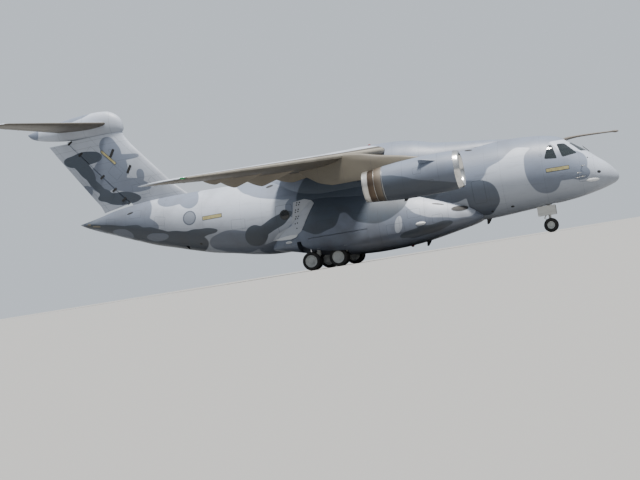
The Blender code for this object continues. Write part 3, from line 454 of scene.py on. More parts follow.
def spinShape(profile, centre, axis, steps=64):
    # Profile of (distance along the axis, radius), turned right round.
    bm = bmesh.new()
    axis = axis.normalized()
    across = axis.orthogonal().normalized()
    verts = [bm.verts.new(centre + axis * a + across * r) for a, r in profile]
    edges = [bm.edges.new(pair) for pair in zip(verts, verts[1:])]
    bmesh.ops.spin(bm, geom=verts + edges, cent=centre, axis=axis, angle=math.tau, steps=steps,
                   use_merge=True)
    bmesh.ops.remove_doubles(bm, verts=bm.verts, dist=1e-5)
    bmesh.ops.dissolve_degenerate(bm, edges=bm.edges, dist=1e-6)
    bmesh.ops.holes_fill(bm, edges=[e for e in bm.edges if e.is_boundary])
    return faceOutward(bm)


def ballShape(spot, size, count, turn=0.0):
    bm = bmesh.new()
    bmesh.ops.create_uvsphere(bm, u_segments=count, v_segments=count // 2, radius=1)
    bmesh.ops.scale(bm, vec=size, verts=bm.verts)
    if turn:
        bmesh.ops.rotate(bm, cent=(0, 0, 0), matrix=Matrix.Rotation(turn, 3, "Z"), verts=bm.verts)
    bmesh.ops.translate(bm, vec=spot, verts=bm.verts)
    return bm


def tubeShape(points, radius, sides=10):
    # Round hose or pipe through points, its ends closed.
    bm = bmesh.new()
    ring = bmesh.ops.create_circle(bm, segments=sides, radius=radius)["verts"]
    loop = [e for e in bm.edges]
    local = [v.co.copy() for v in ring]

    def put(verts, i):
        a, b = points[max(i - 1, 0)], points[min(i + 1, len(points) - 1)]
        turn = (b - a).to_track_quat("Z", "Y").to_matrix()
        for vert, spot in zip(verts, local):
            vert.co = turn @ spot + points[i]

    put(ring, 0)
    for i in range(1, len(points)):
        grown = bmesh.ops.extrude_edge_only(bm, edges=loop)["geom"]
        loop = [g for g in grown if isinstance(g, bmesh.types.BMEdge) and g.is_boundary]
        verts = [g for g in grown if isinstance(g, bmesh.types.BMVert)]
        put(verts, i)
    bmesh.ops.holes_fill(bm, edges=[e for e in bm.edges if e.is_boundary])
    return faceOutward(bm)


def makePiece(bm, name, material, nodes=(), body=None, angle=32.0, flat=False):
    faceOutward(bm)
    mesh = bpy.data.meshes.new(name)
    bm.to_mesh(mesh)
    bm.free()
    if not flat:
        mesh.shade_smooth()
        mesh.set_sharp_from_angle(angle=math.radians(angle))
    obj = bpy.data.objects.new(name, mesh)
    scene.collection.objects.link(obj)
    mesh.materials.append(material)
    nodes = (nodes,) if isinstance(nodes, str) else nodes
    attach(obj, body or "airframe")
    if nodes:
        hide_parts(*nodes)
    return obj


def steps(start, end, count):
    return [start + (end - start) * k / count for k in range(count + 1)]


# Fuselage: station, crown, belly, half width, widest height, lower fullness
hull = {
    "rows": (
        (0.00, 2.53, 2.47, 0.03, 2.50, 2.0), (0.06, 2.74, 2.31, 0.24, 2.51, 2.0),
        (0.25, 3.02, 2.17, 0.50, 2.56, 2.0), (0.46, 3.27, 2.09, 0.76, 2.62, 2.0),
        (0.95, 3.70, 1.94, 1.10, 2.76, 2.0), (1.44, 4.13, 1.83, 1.36, 2.90, 2.0),
        (1.94, 4.52, 1.73, 1.55, 3.00, 2.0), (2.44, 4.89, 1.65, 1.69, 3.10, 2.0),
        (2.80, 5.15, 1.61, 1.78, 3.18, 2.0), (3.10, 5.27, 1.58, 1.85, 3.24, 2.0),
        (3.60, 5.39, 1.55, 1.94, 3.30, 2.0), (4.60, 5.52, 1.47, 2.06, 3.38, 2.0),
        (5.60, 5.57, 1.40, 2.12, 3.42, 2.0), (6.60, 5.58, 1.33, 2.15, 3.44, 2.0),
        (7.60, 5.58, 1.30, 2.15, 3.44, 2.0), (19.40, 5.58, 1.29, 2.15, 3.44, 2.0),
        (20.10, 5.62, 1.31, 2.15, 3.46, 2.2), (21.35, 5.74, 1.47, 2.14, 3.50, 2.5),
        (22.60, 5.82, 1.73, 2.12, 3.60, 2.6), (23.80, 5.84, 1.95, 2.06, 3.70, 2.6),
        (25.00, 5.86, 2.27, 1.95, 3.85, 2.6), (26.25, 5.86, 2.64, 1.80, 4.05, 2.5),
        (27.50, 5.82, 3.00, 1.58, 4.25, 2.4), (28.70, 5.74, 3.44, 1.33, 4.48, 2.3),
        (30.00, 5.58, 3.95, 1.02, 4.72, 2.1), (31.20, 5.33, 4.42, 0.68, 4.88, 2.0),
        (31.90, 5.20, 4.72, 0.44, 4.97, 2.0), (32.40, 5.12, 4.97, 0.20, 5.05, 2.0),
        (32.54, 5.10, 5.06, 0.05, 5.08, 2.0)),
    "wall": 0.12, "sides": 112, "radomeEnd": 1.22, "noseEnd": 6.20, "barrelEnd": 20.10,
    "tailEnd": 29.00,
}
rowCache = {}


def hoopPoint(row, turn, grow=0.0):
    s, top, bottom, half, mid, power = row
    c, d = math.cos(math.tau * turn), math.sin(math.tau * turn)
    bend = 2.0 if d >= 0 else power
    rise = top + grow - mid if d >= 0 else mid - bottom + grow
    y = (half + grow) * math.copysign(abs(c) ** (2 / bend), c)
    return place(s, y, mid + rise * math.copysign(abs(d) ** (2 / bend), d))


def hullPoint(s, turn, grow=0.0):
    if s not in rowCache:
        rowCache[s] = readTable(hull["rows"], s, 0.5)
    return hoopPoint(rowCache[s], turn, grow)


def hullSolid(stations, grow=0.0, sides=None):
    return wrapGrid(stations, sides or hull["sides"], lambda s, turn: hullPoint(s, turn, grow))


def hullTube(stations, wall=None, grow=0.0, sides=None):
    wall = hull["wall"] if wall is None else wall
    spots = [(s, grow) for s in stations] + [(s, grow - wall) for s in reversed(stations)]
    spots.append(spots[0])
    return wrapGrid(spots, sides or hull["sides"], lambda p, turn: hullPoint(p[0], turn, p[1]), False)


def sideCorners(points, y=0.0):
    return [place(s, y, z) for s, z in points]


def sidePrism(points, y, wide, corner=0.0, steps=5):
    # Outline seen from the side, y in its middle.
    return prismShape(sideCorners(points, y), Vector((0, wide, 0)), corner, steps)


def shrinkOutline(points, by):
    n = len(points)
    mid = (sum(p[0] for p in points) / n, sum(p[1] for p in points) / n)
    moved = []
    for p in points:
        share = 1 - by / math.hypot(p[0] - mid[0], p[1] - mid[1])
        moved.append((mid[0] + (p[0] - mid[0]) * share, mid[1] + (p[1] - mid[1]) * share))
    return moved


paint = {}

cockpitPanes = {
    "side": (((1.99, 4.07), (2.61, 4.73), (3.03, 4.75), (2.81, 3.95)),
             ((3.08, 3.92), (3.27, 4.73), (3.50, 4.75), (3.78, 4.00))),
    "front": ((0.05, 4.17), (0.86, 4.17), (0.60, 4.73), (0.05, 4.76)),
    "corner": 0.09, "seal": 0.022, "gap": 0.004,
}


def paneCutter(inset, corner):
    bm = newShape()
    for side in (1, -1):
        for outline in cockpitPanes["side"]:
            joinShapes(bm, sidePrism(shrinkOutline(outline, inset), side * 1.96, 2.06, corner))
        outline = [place(2.05, side * y, z) for y, z in shrinkOutline(cockpitPanes["front"], inset)]
        joinShapes(bm, prismShape(outline, Vector((1.6, 0, 0)), corner))
    return bm


def buildHull():
    h = hull
    nearNose = [h["radomeEnd"] * (k / 20) ** 2 for k in range(20)] + [h["radomeEnd"] - 0.002]
    makePiece(hullSolid(nearNose), "radomeSkin", paint["radome"], "radome")

    nose = hullTube(steps(h["radomeEnd"] + 0.002, h["noseEnd"] - 0.001, 40))
    nose = cutShape(nose, paneCutter(0.0, cockpitPanes["corner"]))
    nose = cutShape(nose, sidePrism([(4.95, 1.78), (5.85, 1.78), (5.85, 3.62), (4.95, 3.62)], 2.0, 2.0,
                                    0.11))
    half = [(1.95, 0.466), (3.575, 0.466), (3.575, 0.42), (4.72, 0.42)]
    plan = [place(s, y, 1.65) for s, y in half] + [place(s, -y, 1.65) for s, y in reversed(half)]
    nose = cutShape(nose, prismShape(plan, Vector((0, 0, 1.3))))
    makePiece(nose, "noseSkin", paint["hull"], "nose_shell")

    pane = hullTube(steps(1.30, 4.5, 26), 0.018, -0.006)
    makePiece(keepShape(pane, paneCutter(cockpitPanes["seal"], 0.08)), "cockpitPanes", paint["glass"],
              "cockpit_glass")
    seal = hullTube(steps(1.31, 4.49, 26), 0.05, 0.002)
    seal = keepShape(seal, paneCutter(cockpitPanes["gap"], 0.088))
    makePiece(cutShape(seal, paneCutter(cockpitPanes["seal"] + 0.002, 0.079)), "paneSeals", paint["seal"])

    makePiece(hullTube(steps(h["noseEnd"] + 0.001, h["barrelEnd"] - 0.001, 46)), "barrelSkin",
              paint["hull"], "barrel_shell")
    tail = hullTube(steps(h["barrelEnd"] + 0.001, h["tailEnd"] - 0.001, 48))
    tail = cutShape(tail, rampPlan(0.0, 0.0, 28.84, 3.2))
    makePiece(tail, "tailSkin", paint["hull"], "tail_shell")
    makePiece(hullSolid(steps(h["tailEnd"] + 0.001, 31.9, 16) + [32.1, 32.25, 32.36, 32.45, 32.5, 32.54]),
              "tailCone", paint["hull"], "tail_cone")


def rampPlan(front, trim, aft, tall):
    s0, s1 = 20.60 + front, 25.29
    plan = [(s0, 1.48 - trim), (s1, 1.38 - trim)]
    if aft > s1 + 0.01:
        plan.append((aft, 0.78 - trim))
    corners = [place(s, y, 2.4) for s, y in plan] + [place(s, -y, 2.4) for s, y in reversed(plan)]
    return prismShape(corners, Vector((0, 0, tall)))


def buildCrewDoor():
    door = hullTube(steps(4.85, 5.95, 9))
    trim = sidePrism([(4.958, 1.788), (5.842, 1.788), (5.842, 3.612), (4.958, 3.612)], 2.0, 2.0, 0.105)
    door = keepShape(door, trim)
    joinShapes(door, rodShape(place(4.951, 1.222, 1.786), place(5.849, 1.222, 1.786), 0.018, sides=16))
    makePiece(door, "crewDoor", paint["hull"], "crew_door", "crew_door")


def buildNoseGearDoors():
    for side, word in bothSides:
        flap = hullTube(steps(1.9, 3.62, 12), 0.04)
        flap = keepShape(flap, boxShape(1.963, 3.56, side * 0.006, side * 0.400, 1.2, 2.2))
        joinShapes(flap, rodShape(place(1.9519, side * 0.404, 1.785), place(3.52, side * 0.404, 1.605),
                                  0.010, sides=12))
        makePiece(flap, "noseGearDoor" + word.title(), paint["hull"], "nose_gear_door_" + word,
                  "nose_gear_door_" + word)


def buildRamp():
    ramp = hullSolid(steps(20.3, 26.0, 24))
    outline = sideCorners([(20.607, 0.6), (25.40, 0.6), (25.27, 2.28), (25.12, 2.52), (24.96, 2.84),
                           (20.607, 1.85)])
    trim = prismShape(outline, Vector((0, 2.7, 0)))
    for vert in trim.verts:
        share = (midStation - vert.co.x - 20.6) / 4.7
        vert.co.y = math.copysign(1.468 - 0.10 * share, vert.co.y)
    ramp = keepShape(ramp, trim)
    makePiece(ramp, "cargoRamp", paint["hull"], "cargo_ramp", "cargo_ramp")


def buildUpperDoor():
    upper = hullTube(steps(25.0, 28.95, 22))
    plan = [place(25.302, 1.366, 2.5), place(28.832, 0.768, 2.5), place(28.832, -0.768, 2.5),
            place(25.302, -1.366, 2.5)]
    upper = keepShape(upper, prismShape(plan, Vector((0, 0, 3.0))))
    for y in (0.40, -0.40):
        joinShapes(upper, sidePrism([(28.40, 3.44), (28.70, 3.52), (28.87, 3.96), (28.86, 4.00),
                                     (28.80, 4.01), (28.33, 3.58)], y, 0.05))
    joinShapes(upper, rodShape(place(28.84, -0.499, 3.98), place(28.84, 0.499, 3.98), 0.018, sides=16))
    makePiece(upper, "cargoDoor", paint["hull"], "cargo_door", "cargo_door")


# Under-belly and sponsons, with the same columns as the fuselage
sponson = {
    "rows": (
        (7.60, 1.70, 1.38, 1.10, 1.54, 3.0), (8.00, 2.35, 1.20, 1.66, 1.65, 3.0),
        (8.40, 2.75, 1.10, 1.98, 1.70, 3.0), (9.20, 3.12, 0.95, 2.34, 1.71, 3.0),
        (10.20, 3.60, 0.76, 2.66, 1.68, 3.0), (11.40, 4.14, 0.57, 2.88, 1.61, 3.0),
        (12.60, 4.36, 0.47, 2.95, 1.57, 3.0), (13.80, 4.64, 0.44, 2.98, 1.53, 3.0),
        (15.00, 4.82, 0.49, 2.97, 1.54, 3.0), (16.20, 5.02, 0.62, 2.92, 1.56, 3.0),
        (17.00, 5.12, 0.78, 2.83, 1.60, 3.0), (17.50, 4.86, 0.89, 2.72, 1.64, 3.0),
        (18.10, 4.18, 1.04, 2.55, 1.67, 3.0), (18.80, 3.45, 1.22, 2.27, 1.67, 3.0),
        (19.40, 2.80, 1.34, 1.92, 1.66, 3.0), (19.90, 2.00, 1.44, 1.45, 1.62, 3.0)),
    "doorSill": ((13.87, 1.05), (17.43, 1.20), (17.43, 1.833), (13.87, 1.833)),
    "doorEdge": ((13.878, 1.058), (17.422, 1.208), (17.422, 1.805), (13.878, 1.805)),
}


def sponsonSolid(grow=0.0):
    spots = [7.6, 7.66, 7.74, 7.86] + steps(8.0, 19.4, 60) + [19.55, 19.7, 19.82, 19.9]
    rows = {s: readTable(sponson["rows"], s) for s in spots}
    return wrapGrid(spots, 112, lambda s, turn: hoopPoint(rows[s], turn, grow))


def buildSponsons():
    inner = hullSolid(steps(6.9, 20.4, 40), -0.01)
    keel = keepShape(cutShape(sponsonSolid(), inner.copy()), boxShape(7.0, 20.2, -1.24, 1.24, 0, 4.9))
    makePiece(keel, "bellyFairing", paint["belly"], "belly_fairing")
    for side, word in bothSides:
        body = cutShape(sponsonSolid(), inner.copy())
        body = keepShape(body, boxShape(7.0, 20.2, side * 1.2405, side * 3.4, 0, 4.9))
        body = cutShape(body, boxShape(15.28, 18.14, side * 1.42, side * 2.62, 0.2, 1.74))
        body = cutShape(body, sidePrism(sponson["doorSill"], side * 2.66, 1.28))
        makePiece(body, "sponson" + word.title(), paint["belly"], "sponson_" + word)
        door = cutShape(sponsonSolid(), sponsonSolid(-0.07))
        door = keepShape(door, sidePrism(sponson["doorEdge"], side * 2.665, 1.27))
        joinShapes(door, rodShape(place(13.8707, side * 2.945, 1.784), place(15.5, side * 2.945, 1.784),
                                  0.012, sides=12))
        makePiece(door, "wheelDoor" + word.title(), paint["belly"], "sponson_door_" + word,
                  "sponson_door_" + word)
    inner.free()


# Saddle over the wing's centre: station, half width, centre height, top
saddle = {
    "rows": ((5.60, 0.30, 5.20, 5.57), (6.40, 0.72, 4.95, 5.69), (7.50, 1.05, 4.75, 5.84),
             (8.60, 1.28, 4.55, 5.98), (9.80, 1.52, 4.40, 6.15), (10.40, 1.66, 4.32, 6.32),
             (11.10, 1.80, 4.27, 6.50), (12.20, 1.92, 4.22, 6.63), (14.00, 1.98, 4.20, 6.68),
             (16.20, 1.98, 4.20, 6.63), (17.40, 1.90, 4.24, 6.44), (18.30, 1.70, 4.30, 6.12),
             (19.00, 1.35, 4.50, 5.82), (19.60, 0.90, 4.80, 5.68), (20.10, 0.45, 5.20, 5.63)),
    "fullness": 2.35,
}


def ovalPoint(s, turn, half, top, bottom, mid, power):
    c, d = math.cos(math.tau * turn), math.sin(math.tau * turn)
    rise = top - mid if d >= 0 else mid - bottom
    return place(s, half * math.copysign(abs(c) ** (2 / power), c),
                 mid + rise * math.copysign(abs(d) ** (2 / power), d))


def buildSaddle():
    spots = steps(5.6, 20.1, 72)
    rows = {s: readTable(saddle["rows"], s) for s in spots}

    def shape(s, turn):
        _, half, mid, top = rows[s]
        return ovalPoint(s, turn, half, top, mid - 0.6, mid, saddle["fullness"])

    body = cutShape(wrapGrid(spots, 96, shape), hullSolid(steps(5.0, 21.0, 44), -0.02))
    makePiece(body, "wingSaddle", paint["saddle"], "wing_saddle")


# Flying surfaces: place along the span, leading edge, trailing edge, height or offset, thickness ratio
wing = {
    "rows": ((1.70, 12.48, 18.92, 6.11, 0.150), (5.50, 14.13, 19.02, 5.85, 0.130),
             (16.30, 18.82, 20.50, 5.09, 0.115), (17.00, 19.35, 20.66, 5.04, 0.110),
             (17.40, 19.85, 20.80, 5.01, 0.100), (17.525, 20.30, 20.84, 5.00, 0.080)),
    "smoothFrom": 16.30, "aileron": (12.90, 16.20, 0.742), "flap": (2.35, 5.50, 12.75, 0.75),
    "fall": 0.05,
    "tracks": ((3.30, 0.27, 0.995, 0.70, 0.26), (7.20, 0.27, 0.995, 0.72, 0.26),
               (10.00, 0.27, 0.995, 0.61, 0.24), (11.90, 0.33, 0.95, 0.34, 0.09)),
    "trackShape": ((0.00, 1.00, 0.00, 0.20), (0.20, 0.69, 0.31, 0.70), (0.42, 0.35, 0.65, 1.00),
                   (0.65, 0.00, 1.00, 1.00), (0.71, 0.00, 0.97, 0.98), (0.82, 0.00, 0.74, 0.88),
                   (0.96, 0.00, 0.32, 0.50), (1.00, 0.00, 0.16, 0.20)),
}
tailplane = {
    "rows": ((0.00, 29.42, 32.85, 10.98, 0.115), (5.90, 33.05, 34.43, 11.13, 0.105),
             (6.20, 33.36, 34.52, 11.14, 0.095), (6.32, 33.70, 34.56, 11.14, 0.070)),
    "smoothFrom": 5.90, "elevator": (0.72, 5.85, 0.68),
}
fin = {
    "rows": ((5.30, 24.60, 30.72, 0.0, 0.070), (5.98, 25.30, 30.98, 0.0, 0.080),
             (6.60, 25.98, 31.42, 0.0, 0.095), (9.50, 28.38, 33.40, 0.0, 0.110),
             (10.00, 28.72, 33.72, 0.0, 0.110), (10.35, 28.84, 33.95, 0.0, 0.110)),
    "smoothFrom": 99.0, "hinge": ((29.04, 5.85, 0.17), (32.54, 10.25, 0.145)),
}


def foilHalf(x, ratio):
    shape = (0.2969 * math.sqrt(x) - 0.1260 * x - 0.3516 * x ** 2 + 0.2843 * x ** 3 - 0.1015 * x ** 4)
    return 5 * ratio * shape + 0.0012


def surfaceRow(surface, spot):
    smooth = spot > surface["smoothFrom"]
    rows = [r for r in surface["rows"] if not smooth or r[0] >= surface["smoothFrom"] - 1e-6]
    return readTable(rows, spot, straight=not smooth)


def foilPoint(row, turn, side, upright=False, grow=0.0, fall=0.0):
    # Turn 0 is the trailing edge; the first half runs along the top to the nose.
    spot, lead, trail, level, ratio = row
    x = (1 + math.cos(math.tau * turn)) / 2
    sign = 1 if turn < 0.5 else -1
    thick = 0.0 if turn == 0.5 else sign * (foilHalf(x, ratio) * (trail - lead) + grow)
    s = lead + (trail - lead) * x + grow * (2 * x - 1)
    if turn == 0.0:
        thick = 0.0
    thick -= fall * (s - lead)
    return place(s, thick, spot) if upright else place(s, side * spot, level + thick)


def surfaceShape(surface, side=1, upright=False, grow=0.0, spots=None, turns=84):
    rows = {y: surfaceRow(surface, y) for y in spots}
    fall = surface.get("fall", 0.0)
    return wrapGrid(spots, turns, lambda y, turn: foilPoint(rows[y], turn, side, upright, grow, fall))


def hingeEnds(surface, span, share, side):
    ends = []
    for spot in span:
        _, lead, trail, level, ratio = surfaceRow(surface, spot)
        run = (trail - lead) * share
        ends.append((place(lead + run, side * spot, level - surface.get("fall", 0.0) * run),
                     foilHalf(share, ratio) * (trail - lead)))
    return ends


def aftBlock(ends, aft, tall, trim):
    (p0, _), (p1, _) = ends
    run = (p1 - p0).normalized()
    a, b = p0 + run * trim, p1 - run * trim
    back = Vector((-aft, 0, 0))
    return prismShape([a, b, b + back, a + back], tall)


def buildMoving(name, node, surface, spots, ends, side, material):
    # Hinged rear part of a surface, and the slot and round bed it leaves.
    (p0, r0), (p1, r1) = ends
    tall = Vector((0, 0, 1.6))
    piece = keepShape(surfaceShape(surface, side, spots=spots), aftBlock(ends, 3.0, tall, 0.022))
    run = (p1 - p0).normalized()
    joinShapes(piece, rodShape(p0 + run * 0.0222, p1 - run * 0.0222, r0 * 0.97, r1 * 0.97, 40))
    joinShapes(piece, rodShape(p0 + run * 0.0006, p1 - run * 0.0006, 0.018, sides=12))
    makePiece(piece, name, material, node, node)
    return aftBlock(ends, 3.0, tall, 0.0), rodShape(p0, p1, r0 * 1.12 + 0.014, r1 * 1.12 + 0.014, 40)


def flapBlock(side, trim):
    y0, y1, y2, share = wing["flap"]
    front = []
    for y, inset in ((y0, trim), (y1, 0.0), (y2, -trim)):
        _, lead, trail, level, _ = surfaceRow(wing, y + inset)
        front.append(place(lead + (trail - lead) * share + trim, side * (y + inset), 5.6))
    back = [p + Vector((-3.0, 0, 0)) for p in reversed(front)]
    return prismShape(front + back, Vector((0, 0, 2.4)))


def trackShape(track, side):
    y, first, last, deep, half = track
    _, lead, trail, level, ratio = surfaceRow(wing, y)
    chord = trail - lead
    start = 0.8 * foilHalf(first, ratio) * chord
    outline = ((0.0, 1.0), (0.02, 0.97), (0.25, 0.78), (0.5, 0.6), (0.75, 0.36), (0.94, 0.13), (1.0, 0.0))

    def shape(share, turn):
        _, part, full, wide = readTable(wing["trackShape"], share, straight=True)
        x = first + (last - first) * share
        keel = start * part + deep * full
        skin = min(foilHalf(x, ratio) * chord, 0.6 * keel)
        # Turn 0 is one upper edge, a half turn the other, the keel is between.
        across = 1 - abs(1 - 4 * turn) if turn <= 0.5 else 0.0
        out = 1.0 if turn < 0.25 else -1.0
        down = skin + (keel - skin) * across if turn <= 0.5 else 0.0
        if turn <= 0.5:
            out *= max(readTable(outline, across, straight=True)[1], 0.06 if across > 0.98 else 0.0)
        else:
            out = 4 * turn - 3
        return place(lead + chord * x, side * y + half * wide * out,
                     level - wing["fall"] * chord * x - down)
    return wrapGrid(steps(0, 1, 30), 32, shape)


def buildWings():
    spots = [0.0, 0.85] + steps(1.7, 5.5, 6) + steps(5.5, 16.3, 18)[1:] + steps(16.3, 17.0, 5)[1:] + \
        [17.12, 17.24, 17.34, 17.41, 17.46, 17.50, 17.525]
    for side, word in bothSides:
        body = surfaceShape(wing, side, spots=spots)
        ends = hingeEnds(wing, wing["aileron"][:2], wing["aileron"][2], side)
        slot, bed = buildMoving("aileron" + word.title(), "aileron_" + word, wing, spots, ends, side,
                                paint["wing"])
        body = cutShape(cutShape(body, slot), bed)
        body = cutShape(body, flapBlock(side, 0.0))
        makePiece(body, "wing" + word.title(), paint["wing"], "wing_" + word)
        flap = keepShape(surfaceShape(wing, side, spots=spots), flapBlock(side, 0.003))
        makePiece(flap, "flap" + word.title(), paint["wing"], "flap_" + word)
        canoes = newShape()
        for track in wing["tracks"]:
            joinShapes(canoes, trackShape(track, side))
        makePiece(canoes, "flapTracks" + word.title(), paint["track"])


bullet = {"rows": ((28.72, 10.78, 10.52, 0.05), (28.80, 11.10, 10.38, 0.17), (29.10, 11.48, 10.30, 0.32),
                   (29.70, 11.78, 10.26, 0.44), (30.50, 11.84, 10.27, 0.50), (31.50, 11.82, 10.33, 0.50),
                   (32.50, 11.73, 10.42, 0.44), (33.50, 11.61, 10.56, 0.34), (34.40, 11.46, 10.76, 0.21),
                   (35.00, 11.36, 11.00, 0.11), (35.20, 11.31, 11.22, 0.03))}


def buildBullet():
    spots = ([28.72, 28.73, 28.75, 28.78, 28.82, 28.88, 28.96] + steps(29.06, 35.0, 46)
             + [35.08, 35.14, 35.18, 35.2])
    rows = {s: readTable([(r[0] - 28.7,) + r[1:] for r in bullet["rows"]], s - 28.7, 0.5) for s in spots}
    shape = wrapGrid(spots, 64, lambda s, turn: ovalPoint(s, turn, rows[s][3], rows[s][1], rows[s][2],
                                                          (rows[s][1] + rows[s][2]) / 2, 2.2))
    makePiece(shape, "tailBullet", paint["bullet"], "tail_bullet")


def buildFin():
    (s0, z0, r0), (s1, z1, r1) = fin["hinge"]
    p0, p1 = place(s0, 0, z0), place(s1, 0, z1)
    run = (p1 - p0).normalized()
    wide = Vector((0, 2.4, 0))
    spots = steps(5.3, 10.35, 30)
    body = surfaceShape(fin, upright=True, spots=spots)
    body = cutShape(body, prismShape([p0 - run * 0.9, p1 + run * 0.5, place(34.9, 0, 10.6),
                                      place(34.9, 0, 3.0)], wide))
    body = cutShape(body, rodShape(p0 - run * 0.5, p1 + run * 0.5, r0 * 1.05 + 0.03, r1 * 1.05 + 0.03, 40))
    makePiece(body, "finSkin", paint["fin"], "fin")
    ahead = Vector((0.004, 0, 0))
    body = keepShape(surfaceShape(fin, upright=True, spots=spots),
                     prismShape([p0 + run * 0.06 + ahead, p1 - run * 0.01 + ahead, place(34.6, 0, 10.28),
                                 place(31.5, 0, 5.42)], wide))
    body = cutShape(body, prismShape([place(29.0, 0, 5.0), place(31.6, 0, 5.0), place(31.6, 0, 5.30),
                                      place(29.0, 0, 5.92)], wide))
    joinShapes(body, rodShape(p0 + run * 0.061, p1, r0 * 0.9, r1 * 0.9, 40),
               rodShape(p0 + run * 0.05, p1 + run * 0.1194, 0.018, sides=12))
    makePiece(body, "rudder", paint["fin"], "rudder", "rudder")


def buildTailplane():
    spots = steps(0.02, 5.9, 14) + [6.0, 6.1, 6.18, 6.24, 6.28, 6.31, 6.32]
    for side, word in bothSides:
        body = surfaceShape(tailplane, side, spots=spots)
        ends = hingeEnds(tailplane, tailplane["elevator"][:2], tailplane["elevator"][2], side)
        slot, bed = buildMoving("elevator" + word.title(), "elevator_" + word, tailplane, spots, ends, side,
                                paint["tailplane"])
        body = cutShape(cutShape(body, slot), bed)
        makePiece(body, "tailplane" + word.title(), paint["tailplane"], "tailplane_" + word)


# Engines: distances along the axis are measured from the intake lip, positive forward
engine = {
    "y": 5.20, "front": 7.86, "height": 4.06, "pitch": math.radians(1.2),
    "cowl": ((-0.3006, 1.02), (-0.6, 1.042), (-1.0, 1.055), (-1.5, 1.059), (-2.0, 1.055), (-2.7, 1.036),
             (-3.3, 1.01), (-4.0, 0.955), (-4.62, 0.885), (-4.62, 0.80), (-3.2, 0.88), (-1.6, 0.895),
             (-1.0, 0.825), (-0.4, 0.80), (-0.3006, 0.803)),
    "lip": ((-0.30, 0.803), (-0.20, 0.814), (-0.12, 0.832), (-0.06, 0.853), (-0.02, 0.880), (0.0, 0.905),
            (0.004, 0.925), (-0.006, 0.946), (-0.03, 0.964), (-0.08, 0.983), (-0.16, 1.000), (-0.30, 1.02)),
    "nozzle": ((-4.6206, 0.884), (-4.70, 0.8775), (-5.28, 0.825), (-5.284, 0.81), (-5.28, 0.795),
               (-4.6206, 0.82), (-4.6206, 0.884)),
}
engine["axis"] = Vector((math.cos(engine["pitch"]), 0.0, math.sin(engine["pitch"])))


def buildEngines():
    axis = engine["axis"]
    for side, word in bothSides:
        lip = place(engine["front"], side * engine["y"], engine["height"])
        ring = list(engine["cowl"])
        cowl = spinShape(ring + ring[:1], lip, axis, 96)
        makePiece(cowl, "cowl" + word.title(), paint["cowl"], "nacelle_" + word)
        ring = list(engine["lip"])
        makePiece(spinShape(ring + ring[:1], lip, axis, 96), "intakeLip" + word.title(), paint["lip"])
        makePiece(spinShape(engine["nozzle"], lip, axis, 96), "nozzle" + word.title(), paint["hotMetal"],
                  "nozzle_" + word)


pylon = {
    "rows": ((4.40, 9.75, 14.90), (4.62, 9.70, 15.60), (4.95, 9.78, 16.10), (5.24, 10.60, 16.52),
             (5.58, 12.20, 16.72), (5.90, 13.50, 16.62), (5.97, 14.20, 15.90)),
    "half": 0.18,
}


def buildPylons():
    spots = steps(4.40, 5.96, 26)
    rows = {z: readTable(pylon["rows"], z) for z in spots}

    def shape(z, turn):
        _, lead, trail = rows[z]
        x = (1 + math.cos(math.tau * turn)) / 2
        sign = 0 if turn in (0.0, 0.5) else (1 if turn < 0.5 else -1)
        half = pylon["half"]
        if x < 1 / 3:
            half *= min(1.0, 2.1 * math.sqrt(min(x * 3, 1)) * 0.5)
        if x > 0.55:
            half = pylon["half"] * (1 - ((x - 0.55) / 0.45) ** 2 * 0.92)
        return place(lead + (trail - lead) * x, sign * half, z)

    for side, word in bothSides:
        body = wrapGrid(spots, 56, shape)
        for vert in body.verts:
            vert.co.y += side * engine["y"]
        makePiece(body, "pylon" + word.title(), paint["pylon"], "pylon_" + word)


def buildProbe():
    # Place ahead of the nose, height, radius
    route = ((-2.62, 4.97, 0.10), (-2.35, 5.01, 0.085), (-1.9, 5.03, 0.065), (-1.0, 5.005, 0.055),
             (-0.1, 4.96, 0.045), (0.02, 4.955, 0.05), (0.15, 4.94, 0.07), (0.24, 4.935, 0.068),
             (0.35, 4.93, 0.03))
    spots = steps(-2.62, -0.1, 20) + [-0.04, 0.02, 0.08, 0.12, 0.15, 0.19, 0.24, 0.29, 0.33, 0.35]
    rows = {s: readTable(route, s) for s in spots}
    body = wrapGrid(spots, 32, lambda s, turn: place(-s, -0.25 + rows[s][2] * math.cos(math.tau * turn),
                                                     rows[s][1] + rows[s][2] * math.sin(math.tau * turn)))
    makePiece(body, "fuelProbe", paint["probe"], "refuelling_probe")


fan = {"blades": 24, "hub": 0.25, "tip": 0.785, "front": -1.06, "chord": 0.30}


def bladeShape(lip, axis, across, up, spin):
    # One twisted fan blade, broad at the tip.
    bm = newShape()
    bmesh.ops.create_grid(bm, x_segments=7, y_segments=4, size=0.5)
    for vert in bm.verts:
        r = fan["hub"] - 0.02 + (fan["tip"] - fan["hub"] + 0.02) * (vert.co.x + 0.5)
        rise = (r - fan["hub"]) / (fan["tip"] - fan["hub"])
        stagger = math.radians(28 + 32 * rise)
        lag = vert.co.y * fan["chord"] * (0.8 + 0.25 * math.sin(math.pi * min(max(rise, 0), 1)))
        bow = 0.03 * (1 - (2 * vert.co.y) ** 2)
        turn = spin + (lag * math.sin(stagger) + bow) / max(r, 0.2) - 0.10 * rise
        forward = fan["front"] - 0.02 + lag * math.cos(stagger) - 0.12
        vert.co = lip + axis * forward + (across * math.cos(turn) + up * math.sin(turn)) * r
    bmesh.ops.solidify(bm, geom=bm.faces[:], thickness=0.012)
    return bm


